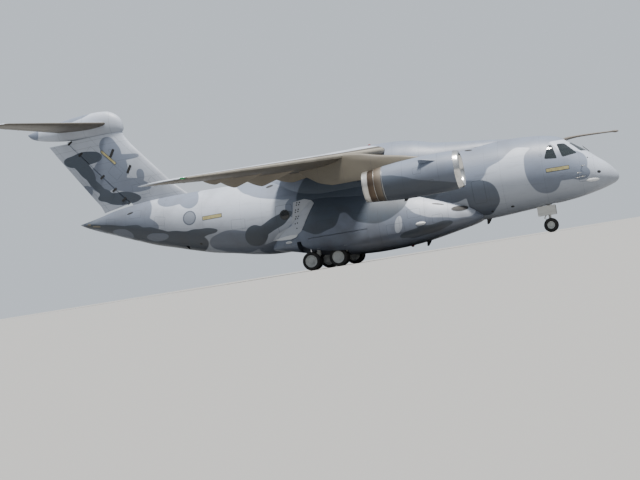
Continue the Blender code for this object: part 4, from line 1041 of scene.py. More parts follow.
def buildFan(word, lip, axis, across, up):
    blades = newShape()
    for k in range(fan["blades"]):
        joinShapes(blades, bladeShape(lip, axis, across, up, math.tau * k / fan["blades"]))
    makePiece(blades, "fanBlades" + word.title(), paint["blade"], "fan_" + word, "fan_" + word)
    nose = [(-0.88, 0.0), (-0.884, 0.022), (-0.90, 0.052), (-0.94, 0.095), (-1.0, 0.145),
            (-1.07, 0.195), (-1.15, 0.24), (-1.2, 0.252), (-1.34, 0.262), (-1.40, 0.262),
            (-1.60, 0.21), (-1.60, 0.0)]
    makePiece(spinShape(nose, lip, axis, 64), "fanSpinner" + word.title(), paint["spinner"],
              body="fan_" + word)


def buildCore(word, lip, axis):
    core = [(-1.62, 0.0), (-1.62, 0.893), (-1.78, 0.891), (-1.80, 0.66), (-1.86, 0.62), (-4.1, 0.56),
            (-4.5, 0.47), (-4.8, 0.33), (-5.05, 0.17), (-5.18, 0.05), (-5.2, 0.0)]
    body = spinShape(core, lip, axis, 72)
    makePiece(body, "engineCore" + word.title(), paint["coreMetal"], "engine_core_" + word)


def buildVanes(word, lip, axis, across, up):
    vanes = newShape()
    for k in range(36):
        turn = math.tau * k / 36
        out = across * math.cos(turn) + up * math.sin(turn)
        tilt = (axis * 0.95 + axis.cross(out) * 0.3) * 0.09
        plate = prismShape([lip + axis * -1.52 + out * 0.26 - tilt,
                            lip + axis * -1.52 + out * 0.88 - tilt,
                            lip + axis * -1.52 + out * 0.88 + tilt,
                            lip + axis * -1.52 + out * 0.26 + tilt], axis.cross(out) * 0.012)
        joinShapes(vanes, plate)
    makePiece(vanes, "guideVanes" + word.title(), paint["blade"])


def buildMixer(word, lip, axis, across, up):
    lobes = newShape()
    for k in range(18):
        turn = math.tau * k / 18
        out = across * math.cos(turn) + up * math.sin(turn)
        rise = axis.cross(out) * 0.012
        plate = prismShape([lip + axis * -4.1 + out * 0.54, lip + axis * -4.15 + out * 0.80,
                            lip + axis * -4.75 + out * 0.74, lip + axis * -4.85 + out * 0.40], rise)
        joinShapes(lobes, plate)
    makePiece(lobes, "mixerLobes" + word.title(), paint["hotMetal"])


def buildCowlParts(side, word, lip, axis):
    # Strake on the cowl's outer shoulder, and the drain mast below.
    turn = math.radians(36)
    out = Vector((0, side * math.cos(turn), math.sin(turn)))
    root = 1.035
    spots = [lip + axis * -1.12 + out * root, lip + axis * -2.1 + out * (root - 0.02),
             lip + axis * -2.08 + out * (root + 0.33), lip + axis * -1.94 + out * (root + 0.34)]
    strake = prismShape(spots, axis.cross(out).normalized() * 0.022)
    makePiece(strake, "cowlStrake" + word.title(), paint["cowl"])
    mast = prismShape([lip + axis * -3.0 + Vector((0, 0, -0.99)),
                       lip + axis * -3.25 + Vector((0, 0, -0.97)),
                       lip + axis * -3.3 + Vector((0, 0, -1.13)),
                       lip + axis * -3.15 + Vector((0, 0, -1.13))], Vector((0, 0.03, 0)))
    makePiece(mast, "drainMast" + word.title(), paint["black"])


def buildExhaustRings(word, lip, axis):
    rings = newShape()
    for a, r in ((-4.16, 0.943), (-4.62, 0.8865), (-5.24, 0.83)):
        band = [(a + 0.012, r), (a, r + 0.006), (a - 0.014, r - 0.001), (a, r - 0.01), (a + 0.012, r)]
        joinShapes(rings, spinShape(band, lip, axis, 96))
    makePiece(rings, "exhaustRings" + word.title(), paint["steel"])


def buildFans():
    axis = engine["axis"]
    for side, word in bothSides:
        lip = place(engine["front"], side * engine["y"], engine["height"])
        across = Vector((0, 1, 0))
        up = axis.cross(across).normalized()
        buildFan(word, lip, axis, across, up)
        buildCore(word, lip, axis)
        buildVanes(word, lip, axis, across, up)
        buildMixer(word, lip, axis, across, up)
        buildCowlParts(side, word, lip, axis)
        buildExhaustRings(word, lip, axis)


# Wheels: radius, rim radius, width, half gap between the two tyres
wheels = {"nose": (0.40, 0.20, 0.22, 0.10), "main": (0.53, 0.34, 0.33, 0.13), "bolts": 10}
noseGear = {"s": 4.05, "axle": 0.40}
mainGear = {"axles": ((15.90, "front"), (17.50, "rear")), "y": 2.02, "axle": 0.53}


def tyreShape(centre, size, side):
    radius, rim, width, inner = size
    half = width / 2
    mid = inner + half
    wall = radius - rim
    groove = 0.010
    profile = [(-0.85, rim), (-0.93, rim + wall * 0.14), (-1.0, rim + wall * 0.42),
               (-0.97, rim + wall * 0.66), (-0.86, rim + wall * 0.86), (-0.72, radius - 0.018),
               (-0.56, radius - 0.005)]
    run = [(mid + half * a, r) for a, r in profile]
    for k, a in enumerate((-0.40, -0.14, 0.14, 0.40)):
        at = mid + half * a
        run += [(at - 0.011, radius - 0.001), (at - 0.008, radius - groove), (at + 0.008, radius - groove),
                (at + 0.011, radius - 0.001)]
    run += [(mid - half * a, r) for a, r in reversed(profile)]
    run += [(mid + half * 0.6, rim - 0.012), (mid - half * 0.6, rim - 0.012), run[0]]
    if side < 0:
        run = [(-a, r) for a, r in run]
    return spinShape(run, centre, Vector((0, 1, 0)), 72)


def rimShape(centre, size, side):
    # Outer wheel half: dished disc with bolts and a hub cap.
    radius, rim, width, inner = size
    half = width / 2
    mid = inner + half
    face = mid + half * 0.42
    run = [(mid - half * 0.84, rim + 0.012), (mid - half * 0.80, rim - 0.006),
           (mid + half * 0.66, rim - 0.014), (mid + half * 0.80, rim + 0.002),
           (mid + half * 0.86, rim + 0.012), (mid + half * 0.88, rim - 0.004),
           (mid + half * 0.70, rim - 0.022), (face + 0.01, rim * 0.84), (face - 0.02, rim * 0.70),
           (face - 0.012, rim * 0.46), (face + 0.022, rim * 0.40), (face + 0.024, rim * 0.30),
           (mid + half * 0.55, rim * 0.27), (mid + half * 0.57, rim * 0.12), (mid + half * 0.57, 0.0)]
    inside = [(inner - 0.004, 0.0), (inner - 0.004, rim * 0.32), (inner + 0.02, rim * 0.34),
              (mid - half * 0.5, rim * 0.62), (mid - half * 0.84, rim * 0.93)]
    profile = run + inside + run[:1]
    if side < 0:
        profile = [(-a, r) for a, r in profile]
    disc = spinShape(profile, centre, Vector((0, 1, 0)), 64)
    for k in range(wheels["bolts"]):
        turn = math.tau * k / wheels["bolts"]
        out = Vector((math.cos(turn), 0, math.sin(turn))) * rim * 0.35
        joinShapes(disc, rodShape(centre + out + Vector((0, side * (face + 0.018), 0)),
                                  centre + out + Vector((0, side * (face + 0.036), 0)), 0.010, sides=6))
    return disc


def buildWheels():
    spots = [("noseWheels", "nose_wheels", place(noseGear["s"], 0, noseGear["axle"]), "nose")]
    for side, hand in bothSides:
        for s, word in mainGear["axles"]:
            spots.append(("mainWheels%s%s" % (word.title(), hand.title()),
                          "main_wheels_%s_%s" % (word, hand),
                          place(s, side * mainGear["y"], mainGear["axle"]), "main"))
    for name, node, centre, kind in spots:
        size = wheels[kind]
        tyres = joinShapes(tyreShape(centre, size, 1), tyreShape(centre, size, -1))
        makePiece(tyres, name + "Tyres", paint["rubber"], node, node, angle=28)
        rims = joinShapes(rimShape(centre, size, 1), rimShape(centre, size, -1))
        radius = 0.05 if kind == "nose" else 0.065
        joinShapes(rims, rodShape(centre - Vector((0, size[3] + 0.02, 0)),
                                  centre + Vector((0, size[3] + 0.02, 0)), radius))
        makePiece(rims, name + "Rims", paint["gear"], body=node)


def buildNoseLeg():
    s = noseGear["s"]
    leg = rodShape(place(s, 0, 2.979), place(s, 0, 1.20), 0.10, sides=48, bevel=0.008)
    joinShapes(leg, rodShape(place(s, 0, 1.34), place(s, 0, 1.20), 0.128, sides=48, bevel=0.01),
               rodShape(place(s, 0, 2.1), place(s, 0, 2.02), 0.118, sides=48, bevel=0.006),
               rodShape(place(s - 1.10, 0, 2.90), place(s - 0.55, 0, 2.16), 0.045, sides=32),
               rodShape(place(s - 0.60, 0, 2.23), place(s - 0.03, 0, 1.46), 0.036, sides=32),
               rodShape(place(s - 0.66, 0, 2.31), place(s - 0.54, 0, 2.15), 0.058, sides=32, bevel=0.006),
               boxShape(s - 0.16, s - 0.04, -0.07, 0.07, 1.40, 1.52, 0.012),
               rodShape(place(s + 0.02, -0.445, 1.37), place(s + 0.02, 0.445, 1.37), 0.022, sides=20),
               boxShape(s - 0.20, s + 0.02, -0.19, -0.12, 1.22, 1.33, 0.01),
               boxShape(s - 0.20, s + 0.02, 0.12, 0.19, 1.22, 1.33, 0.01))
    for side in (1, -1):
        lid = boxShape(3.66, 4.66, side * 0.434, side * 0.450, 0.98, 1.50, 0.006)
        bars = [boxShape(3.74, 4.58, side * 0.426, side * 0.434, zz, zz + 0.02) for zz in (1.06, 1.38)]
        joinShapes(leg, lid, *bars)
    makePiece(leg, "noseLeg", paint["gear"], "nose_leg")


def buildTaxiLamps():
    s = noseGear["s"]
    lamps, glow = newShape(), newShape()
    for side in (1, -1):
        centre = place(s - 0.17, side * 0.20, 1.62)
        bowl = [(-0.09, 0.0), (-0.085, 0.03), (-0.05, 0.062), (0.0, 0.078), (0.015, 0.080), (0.015, 0.072),
                (0.0, 0.068), (-0.03, 0.05), (-0.05, 0.0)]
        joinShapes(lamps, spinShape(bowl, centre, Vector((1, 0, 0)), 40),
                   rodShape(centre - Vector((0.04, 0, 0)), place(s, side * 0.05, 1.60), 0.014, sides=16))
        lens = [(0.010, 0.0), (0.008, 0.03), (0.002, 0.066), (-0.004, 0.066), (-0.004, 0.0)]
        joinShapes(glow, spinShape(lens, centre, Vector((1, 0, 0)), 40))
    makePiece(lamps, "taxiLamps", paint["steel"])
    makePiece(glow, "taxiLenses", paint["lens"])


def buildNoseFork():
    s, z = noseGear["s"], noseGear["axle"]
    fork = rodShape(place(s, 0, 1.199), place(s, 0, z + 0.03), 0.075, sides=48)
    joinShapes(fork, rodShape(place(s, 0, 0.66), place(s, 0, z - 0.02), 0.086, sides=40, bevel=0.006),
               rodShape(place(s, -0.084, z), place(s, 0.084, z), 0.082, sides=40, bevel=0.006))
    links = (([(s + 0.06, 1.12), (s + 0.10, 1.16), (s + 0.33, 0.86), (s + 0.30, 0.80)], 0.07),
             ([(s + 0.33, 0.86), (s + 0.30, 0.80), (s + 0.05, 0.56), (s + 0.05, 0.63)], 0.05))
    for link, wide in links:
        joinShapes(fork, sidePrism(link, 0, wide, 0.012))
    joinShapes(fork, rodShape(place(s + 0.315, -0.05, 0.83), place(s + 0.315, 0.05, 0.83), 0.024,
                              sides=20),
               boxShape(s - 0.17, s - 0.05, -0.05, 0.05, z + 0.10, z + 0.19, 0.01))
    makePiece(fork, "steeringFork", paint["steel"], "nose_fork", "nose_fork")


def buildNoseHoses():
    s = noseGear["s"]
    hoses = newShape()
    for y in (0.06, -0.06):
        route = [place(s + 0.10, y, 1.75), place(s + 0.13, y, 1.60), place(s + 0.13, y, 1.42),
                 place(s + 0.12, y, 1.30)]
        joinShapes(hoses, tubeShape(route, 0.009, 8))
    makePiece(hoses, "noseHoses", paint["black"])


def buildMainGear():
    for side, word in bothSides:
        y = side * mainGear["y"]
        legs = newShape()
        chrome = newShape()
        hoses = newShape()
        for s, _ in mainGear["axles"]:
            arm = [(s - 0.52, 1.7395), (s - 0.34, 1.7395), (s - 0.34, 1.02), (s + 0.02, 0.70),
                   (s + 0.12, 0.62), (s + 0.13, 0.47), (s + 0.02, 0.40), (s - 0.12, 0.43), (s - 0.52, 0.82)]
            body = sidePrism(arm, y, 0.15, 0.035, 3)
            body = cutShape(body,
                            rodShape(place(s, y - 0.4, mainGear["axle"]),
                                     place(s, y + 0.4, mainGear["axle"]), 0.0664, sides=40))
            body = cutShape(body,
                            sidePrism([(s - 0.47, 1.60), (s - 0.39, 1.60), (s - 0.39, 1.06),
                                       (s - 0.47, 1.06)], y + side * 0.075, 0.05, 0.02, 3))
            joinShapes(legs, body,
                       rodShape(place(s - 0.43, y - 0.11, 0.92), place(s - 0.43, y + 0.11, 0.92), 0.085,
                                sides=36, bevel=0.008),
                       rodShape(place(s + 0.01, y, 1.22), place(s + 0.03, y, 1.70), 0.078, sides=36,
                                bevel=0.008),
                       rodShape(place(s - 0.02, y - 0.07, 0.70), place(s - 0.02, y + 0.07, 0.70), 0.05,
                                sides=28))
            joinShapes(chrome, rodShape(place(s - 0.02, y, 0.68), place(s + 0.01, y, 1.24), 0.05, sides=36))
            for shift in (0.09, -0.09):
                route = [place(s - 0.36, y + shift, 1.5), place(s - 0.30, y + shift, 1.2),
                         place(s - 0.22, y + shift, 0.98), place(s - 0.05, y + shift, 0.80),
                         place(s + 0.02, y + shift, 0.70)]
                joinShapes(hoses, tubeShape(route, 0.009, 8))
        joinShapes(legs, boxShape(15.45, 17.60, y - 0.09, y + 0.09, 1.62, 1.7395, 0.012))
        makePiece(legs, "mainLegs" + word.title(), paint["gear"], "main_legs_" + word)
        makePiece(chrome, "gearPistons" + word.title(), paint["chrome"])
        makePiece(hoses, "brakeHoses" + word.title(), paint["black"])


# Cockpit
seatAcross = 0.52


def padShape(s0, s1, y0, y1, z0, z1, puff=0.02):
    # Crowned cushion with soft edges.
    bm = boxShape(s0, s1, y0, y1, z0, z1)
    bmesh.ops.subdivide_edges(bm, edges=bm.edges[:], cuts=5, use_grid_fill=True)
    mid = place((s0 + s1) / 2, (y0 + y1) / 2, (z0 + z1) / 2)
    size = Vector((abs(s1 - s0), abs(y1 - y0), abs(z1 - z0))) / 2
    thin = min(range(3), key=lambda i: size[i])
    for vert in bm.verts:
        local = [(vert.co[i] - mid[i]) / size[i] for i in range(3)]
        others = [i for i in range(3) if i != thin]
        crown = (1 - local[others[0]] ** 2) * (1 - local[others[1]] ** 2)
        vert.co[thin] += math.copysign(puff * crown, local[thin]) if abs(local[thin]) > 0.5 else 0
    for _ in range(2):
        bmesh.ops.smooth_vert(bm, verts=bm.verts[:], factor=0.35, use_axis_x=True, use_axis_y=True,
                              use_axis_z=True)
    return faceOutward(bm)


def buildDeck():
    deck = sidePrism([(1.60, 2.98), (4.93, 2.98), (4.93, 5.40), (4.87, 5.40), (4.87, 3.04), (2.22, 3.04),
                      (2.36, 3.62), (2.28, 3.98), (1.86, 3.90), (1.80, 3.04), (1.60, 3.04)], 0, 4.4)
    deck = keepShape(deck, hullSolid(steps(1.28, 6.25, 24), -0.14))
    makePiece(deck, "flightDeck", paint["dark"], "cockpit_deck")


def buildSeats():
    frames, pads = newShape(), newShape()
    for y in (seatAcross, -seatAcross):
        joinShapes(frames, boxShape(3.04, 3.40, y - 0.17, y + 0.17, 3.04, 3.36, 0.02),
                   sidePrism([(3.44, 3.36), (3.50, 3.36), (3.70, 4.46), (3.63, 4.47)], y, 0.46, 0.02),
                   boxShape(2.95, 3.45, y - 0.24, y + 0.24, 3.36, 3.42, 0.015))
        for side in (1, -1):
            joinShapes(frames, boxShape(3.05, 3.48, y + side * 0.25, y + side * 0.30, 3.66, 3.72, 0.015))
        joinShapes(pads, padShape(2.94, 3.44, y - 0.22, y + 0.22, 3.43, 3.54),
                   padShape(3.37, 3.47, y - 0.22, y + 0.22, 3.55, 4.14))
        head = padShape(3.50, 3.60, y - 0.13, y + 0.13, 4.22, 4.44)
        joinShapes(pads, head)
    makePiece(frames, "seatFrames", paint["dark"])
    makePiece(pads, "seatPads", paint["fabric"], angle=60)


def buildConsoles():
    console = newShape()
    joinShapes(console, boxShape(2.40, 3.30, -0.17, 0.17, 3.04, 3.58, 0.03),
               boxShape(2.06, 2.30, -1.05, 1.05, 3.96, 4.02, 0.02))
    for y in (0.85, -0.85):
        joinShapes(console, rodShape(place(2.9, y, 3.3), place(2.86, y, 3.78), 0.022, sides=16),
                   boxShape(2.75, 3.25, y - 0.10, y + 0.10, 3.04, 3.45, 0.02))
    makePiece(console, "consoles", paint["dark"])


def buildScreens():
    screens = newShape()
    for y in (-0.82, -0.42, 0.0, 0.42, 0.82):
        joinShapes(screens, prismShape([place(2.300, y - 0.17, 3.66), place(2.300, y + 0.17, 3.66),
                                        place(2.270, y + 0.17, 3.92), place(2.270, y - 0.17, 3.92)],
                                       Vector((-0.03, 0, 0))))
    makePiece(screens, "cockpitScreens", paint["screen"], flat=True)


def buildHold():
    floor = boxShape(5.0, 20.58, -2.2, 2.2, 1.73, 1.85)
    floor = keepShape(floor, hullSolid(steps(4.9, 20.9, 40), -0.146))
    floor = cutShape(floor, boxShape(4.90, 5.89, 0.915, 2.3, 1.6, 2.0))
    makePiece(floor, "cargoFloor", paint["floor"], "cargo_floor")
    rails = newShape()
    for y in (-1.12, -0.38, 0.38, 1.12):
        joinShapes(rails, boxShape(6.6, 20.3, y - 0.06, y + 0.06, 1.85, 1.872, 0.004))
    makePiece(rails, "rollerTrays", paint["steel"])
    rings = newShape()
    for k in range(24):
        s = 6.5 + 0.6 * k
        ribs = hullTube((s, s + 0.05), 0.05, -0.115, 64)
        joinShapes(rings, keepShape(ribs, boxShape(s - 0.1, s + 0.2, -3, 3, 1.86, 6.0)))
    makePiece(rings, "holdFrames", paint["primer"])


# Small fittings on the skin
fittings = {
    # Yellow strips: station, height, half length, half height, turn
    "strips": ((3.15, 3.355, 0.60, 0.085, 0), (23.15, 4.05, 0.60, 0.095, 0)),
    "finStrip": (29.90, 8.90, 0.62, 0.060, 48.4),
    # Blade antennas: station, height of the root, reach, place across
    "blades": ((7.4, 1.32, -0.30, 0.0), (11.0, 0.64, -0.30, 0.0), (17.4, 0.88, -0.28, 0.0)),
    "deflector": ((16.86, 3.80), (17.05, 4.00), (17.45, 4.14), (18.12, 4.05), (18.18, 3.60), (18.32, 3.10),
                  (18.42, 2.72), (18.90, 2.58), (19.35, 2.42), (19.78, 2.08), (19.00, 1.98), (18.30, 2.00),
                  (18.10, 2.12), (17.78, 2.30), (17.55, 2.65), (17.32, 3.05), (17.05, 3.50)),
    "ledge": ((18.02, 2.16), (18.45, 2.20), (19.00, 2.17), (19.78, 2.08), (19.20, 1.99), (18.50, 1.95),
              (18.12, 2.03)),
    "holes": ((17.74, 3.98), (17.90, 3.98), (17.80, 3.86), (17.94, 3.86), (17.86, 3.60), (18.02, 3.58),
              (17.90, 3.48), (18.06, 3.46), (17.90, 3.20), (18.06, 3.20), (17.96, 3.08), (18.12, 3.08),
              (17.98, 2.82), (18.14, 2.80), (18.04, 2.52)),
    "windows": (18.72, 3.42, 0.28, 12.85, 2.85, 0.20),
    # Dark slots, openings drawn as black patches of painted shade: station, height, half length, half
    # height, turn
    "slots": ((19.66, 5.28, 0.21, 0.075, -10), (28.66, 5.18, 0.22, 0.055, -8), (5.9, 1.75, 0.10, 0.05, 0),
              (7.05, 1.66, 0.07, 0.045, 0), (7.84, 5.27, 0.22, 0.045, 6), (7.62, 5.42, 0.24, 0.035, 6),
              (24.2, 2.6, 0.09, 0.06, 8), (1.02, 2.86, 0.10, 0.075, 10), (1.5, 3.73, 0.035, 0.035, 0)),
    "finSlots": ((29.62, 9.12, 0.27, 0.085, -58), (28.66, 7.95, 0.27, 0.085, -58)),
    "hinges": ((29.42, 6.12), (29.95, 6.80), (30.62, 7.72), (31.86, 9.36), (32.45, 10.18)),
}


def hullPatch(outlines, side, grow, thick, corner=0.0, sponsonToo=False):
    # Pieces of the skin's surface inside outlines seen from the side.
    low = min(p[0] for line in outlines for p in line) - 0.1
    high = max(p[0] for line in outlines for p in line) + 0.1
    cutter = newShape()
    for line in outlines:
        joinShapes(cutter, sidePrism(line, side * 1.6, 3.0, corner))
    shells = [hullTube(steps(max(low, 0.02), high, max(4, round((high - low) / 0.1))), thick + grow, grow)]
    if sponsonToo:
        shells.append(cutShape(sponsonSolid(grow), sponsonSolid(-0.03)))
    patch = newShape()
    for shell in shells:
        joinShapes(patch, keepShape(shell, cutter.copy()))
    cutter.free()
    return patch


def turnedOutline(s, z, halfS, halfZ, turn=0.0, count=0):
    a = math.radians(turn)
    if count:
        spots = [(halfS * math.cos(math.tau * k / count), halfZ * math.sin(math.tau * k / count))
                 for k in range(count)]
    else:
        spots = [(-halfS, -halfZ), (halfS, -halfZ), (halfS, halfZ), (-halfS, halfZ)]
    return [(s + u * math.cos(a) - v * math.sin(a), z + u * math.sin(a) + v * math.cos(a))
            for u, v in spots]


def bladeAntenna(s, z, tall, y):
    rows = ((0.0, -0.16, 0.14, 0, 0.09), (0.55, -0.05, 0.16, 0, 0.09), (1.0, 0.06, 0.17, 0, 0.08))
    spots = (-0.1, 0.0, 0.25, 0.5, 0.75, 0.95, 1.0)
    table = {h: readTable(rows, h, straight=True) for h in spots}

    def shape(h, turn):
        _, lead, trail, _, ratio = table[h]
        x = (1 + math.cos(math.tau * turn)) / 2
        half = 0 if turn in (0.0, 0.5) else foilHalf(x, 0.11) * (trail - lead)
        return place(s + lead + (trail - lead) * x, y + (half if turn < 0.5 else -half), z + tall * h)
    return wrapGrid(spots, 24, shape)


def finPatch(rows, thick, bm):
    # Small plates on both faces of the fin.
    for s, z, halfS, halfZ, turn in rows:
        row = surfaceRow(fin, z)
        half = foilHalf(min((s - row[1]) / (row[2] - row[1]), 0.98), row[4]) * (row[2] - row[1])
        for side in (1, -1):
            corners = [place(u, side * (half + thick / 2 - 0.006), v)
                       for u, v in turnedOutline(s, z, halfS, halfZ, turn)]
            joinShapes(bm, prismShape(corners, Vector((0, thick + 0.012, 0)), min(halfS, halfZ) * 0.4))
    return bm


def buildStrips():
    f = fittings
    strips, borders = newShape(), newShape()
    for side in (1, -1):
        for grow, extra, bm in ((0.006, 0.025, borders), (0.010, 0.0, strips)):
            outlines = [turnedOutline(s, z, halfS + extra, halfZ + extra, turn)
                        for s, z, halfS, halfZ, turn in f["strips"]]
            for line in outlines:
                joinShapes(bm, hullPatch([line], side, grow, 0.02, 0.02))
    s, z, halfS, halfZ, turn = f["finStrip"]
    finPatch([(s, z, halfS + 0.025, halfZ + 0.025, turn)], 0.006, borders)
    finPatch([(s, z, halfS, halfZ, turn)], 0.012, strips)
    makePiece(strips, "formationStrips", paint["strip"])
    makePiece(borders, "stripBorders", paint["seal"])


def buildAntennas():
    antennas = newShape()
    for s, z, tall, y in fittings["blades"]:
        joinShapes(antennas, bladeAntenna(s, z, tall, y))
    makePiece(antennas, "bladeAntennas", paint["black"])


def buildWindows():
    f = fittings
    plates, holes, panes, rims, ledges = (newShape() for _ in range(5))
    s, z, r, s2, z2, r2 = f["windows"]
    for side in (1, -1):
        joinShapes(plates, hullPatch([f["deflector"]], side, 0.028, 0.02, 0.03, True))
        joinShapes(ledges, hullPatch([f["ledge"]], side, 0.075, 0.04, 0.02, True))
        joinShapes(holes, hullPatch([turnedOutline(u, v, 0.040, 0.040, 0, 10)
                                     for u, v in f["holes"]], side, 0.032, 0.012, 0, True))
        joinShapes(panes, hullPatch([turnedOutline(s, z, r - 0.03, r - 0.03, 0, 40)], side, 0.006, 0.02),
                   hullPatch([turnedOutline(s2, z2, r2, r2)], side, 0.006, 0.02, 0.05))
        for u, v, size, count in ((s, z, r, 40), (s2, z2, r2 + 0.05, 0)):
            ring = hullPatch([turnedOutline(u, v, size + 0.02, size + 0.02, 0, count)], side, 0.009, 0.02,
                             0 if count else 0.06)
            hole = sideCorners(turnedOutline(u, v, size - 0.027, size - 0.027, 0, count), side * 1.6)
            joinShapes(rims, cutShape(ring, prismShape(hole, Vector((0, 3.0, 0)), 0 if count else 0.05)))
    makePiece(plates, "airDeflectors", paint["deflector"])
    makePiece(ledges, "deflectorLedges", paint["white"])
    # The holes are black discs on the plates, painted shade where the openings would be.
    makePiece(holes, "deflectorHoles", paint["black"], flat=True)
    # Opaque near-black panes, painted shade of the cabin behind the windows.
    makePiece(panes, "cabinWindows", paint["darkPane"])
    makePiece(rims, "windowRims", paint["seal"])


def buildMarks():
    f = fittings
    marks = newShape()
    for side in (1, -1):
        for s, z, halfS, halfZ, turn in f["slots"]:
            joinShapes(marks, hullPatch([turnedOutline(s, z, halfS, halfZ, turn, 24)], side, 0.005, 0.02))
    finPatch(f["finSlots"], 0.006, marks)
    makePiece(marks, "skinSlots", paint["black"], flat=True)
    bright = newShape()
    for side in (1, -1):
        joinShapes(bright, hullPatch([turnedOutline(31.2, 4.78, 0.30, 0.05, 10)], side, 0.006, 0.02, 0.02),
                   hullPatch([turnedOutline(31.75, 4.98, 0.13, 0.05, 10)], side, 0.006, 0.02, 0.02))
    makePiece(bright, "tailPlates", paint["pylon"])


def buildAirProbes():
    probes = newShape()
    for side in (1, -1):
        for s, z in ((1.86, 3.30), (2.12, 2.96), (2.20, 2.72), (1.92, 2.74)):
            row = readTable(hull["rows"], s, 0.5)
            up = (z - row[4]) / ((row[1] if z > row[4] else 2 * row[4] - row[2]) - row[4])
            half = row[3] * math.sqrt(max(1 - up * up, 0.0))
            root = place(s, side * (half - 0.01), z)
            out = Vector((0, side, up * 0.5)).normalized()
            tip = root + out * 0.13
            joinShapes(probes, rodShape(root, tip, 0.020, 0.012, 16),
                       rodShape(tip - Vector((0.05, 0, 0)), tip + Vector((0.17, 0, 0)), 0.012, 0.008, 16),
                       rodShape(root - out * 0.02, root + out * 0.018, 0.05, 0.045, 24))
    makePiece(probes, "airDataProbes", paint["steel"])


def buildBlisters():
    blister = newShape()
    for side in (1, -1):
        for s, y, z, size in ((1.35, 1.12, 2.50, (0.48, 0.14, 0.12)),
                              (10.9, 2.80, 1.62, (0.30, 0.10, 0.10)),
                              (18.6, 2.33, 1.80, (0.26, 0.10, 0.08))):
            turn = side * math.radians(-28 if s < 3 else 0)
            joinShapes(blister, ballShape(place(s, side * y, z), size, 32, turn))
    makePiece(blister, "whiteBlisters", paint["white"])


def buildHinges():
    spots = [(s - 0.10, z + 0.06, 0.17, 0.060, -32) for s, z in fittings["hinges"]]
    hinges = finPatch(spots, 0.03, newShape())
    makePiece(hinges, "rudderHinges", paint["black"])


def buildLamps():
    lights = {"green": newShape(), "red": newShape(), "clear": newShape()}
    spots = [("red", place(19.02, 16.62, 5.06), (0.16, 0.10, 0.05)),
             ("green", place(19.02, -16.62, 5.06), (0.16, 0.10, 0.05)),
             ("clear", place(35.12, 0, 11.26), (0.06, 0.05, 0.04)),
             ("red", place(12.0, 0, 0.50), (0.10, 0.06, 0.08)),
             ("red", place(13.6, 0, 6.68), (0.10, 0.06, 0.07))]
    for key, spot, size in spots:
        joinShapes(lights[key], ballShape(spot, size, 24))
    for key, bm in lights.items():
        makePiece(bm, key + "Lamps", paint[key + "Glass"])


def buildWicks():
    wicks = newShape()
    for side in (1, -1):
        for surface, spots in ((wing, (13.4, 14.4, 15.4, 16.1, 16.9)), (tailplane, (3.6, 4.6, 5.5, 6.1))):
            for y in spots:
                row = surfaceRow(surface, y)
                end = place(row[2] - 0.02, side * y, row[3] - surface.get("fall", 0.0) * (row[2] - row[1]))
                joinShapes(wicks, rodShape(end, end + Vector((-0.16, 0, -0.005)), 0.006, 0.003, 8))
    makePiece(wicks, "staticWicks", paint["black"])


def buildWipers():
    wipers = newShape()
    for side in (1, -1):
        route = [place(1.42, side * 0.18, 4.10), place(1.56, side * 0.34, 4.26),
                 place(1.72, side * 0.52, 4.42)]
        joinShapes(wipers, tubeShape([p + Vector((0.05, 0, 0.02)) for p in route], 0.010, 8))
    makePiece(wipers, "wiperArms", paint["black"])


def buildIntakes():
    # Oval cooler intake in each sponson's shoulder, and the slit behind it, drawn as black patches of
    # painted shade on the skin.
    dark = newShape()
    rims = newShape()
    for side in (1, -1):
        for s, z, halfS, halfZ, turn in ((8.72, 2.12, 0.40, 0.115, 5), (9.85, 2.55, 0.34, 0.035, 14)):
            spots = turnedOutline(s, z, halfS, halfZ, turn, 36)
            skin = cutShape(sponsonSolid(0.006), sponsonSolid(-0.03))
            joinShapes(dark, keepShape(skin, sidePrism(spots, side * 2.2, 2.0)))
        skin = cutShape(sponsonSolid(0.012), sponsonSolid(-0.03))
        ring = sidePrism(turnedOutline(8.72, 2.12, 0.45, 0.15, 5, 36), side * 2.2, 2.0)
        hole = sidePrism(turnedOutline(8.72, 2.12, 0.40, 0.115, 5, 36), side * 2.2, 2.0)
        joinShapes(rims, keepShape(skin, cutShape(ring, hole)))
    makePiece(dark, "coolerIntakes", paint["black"], flat=True)
    makePiece(rims, "intakeRims", paint["seal"])


print("paint")
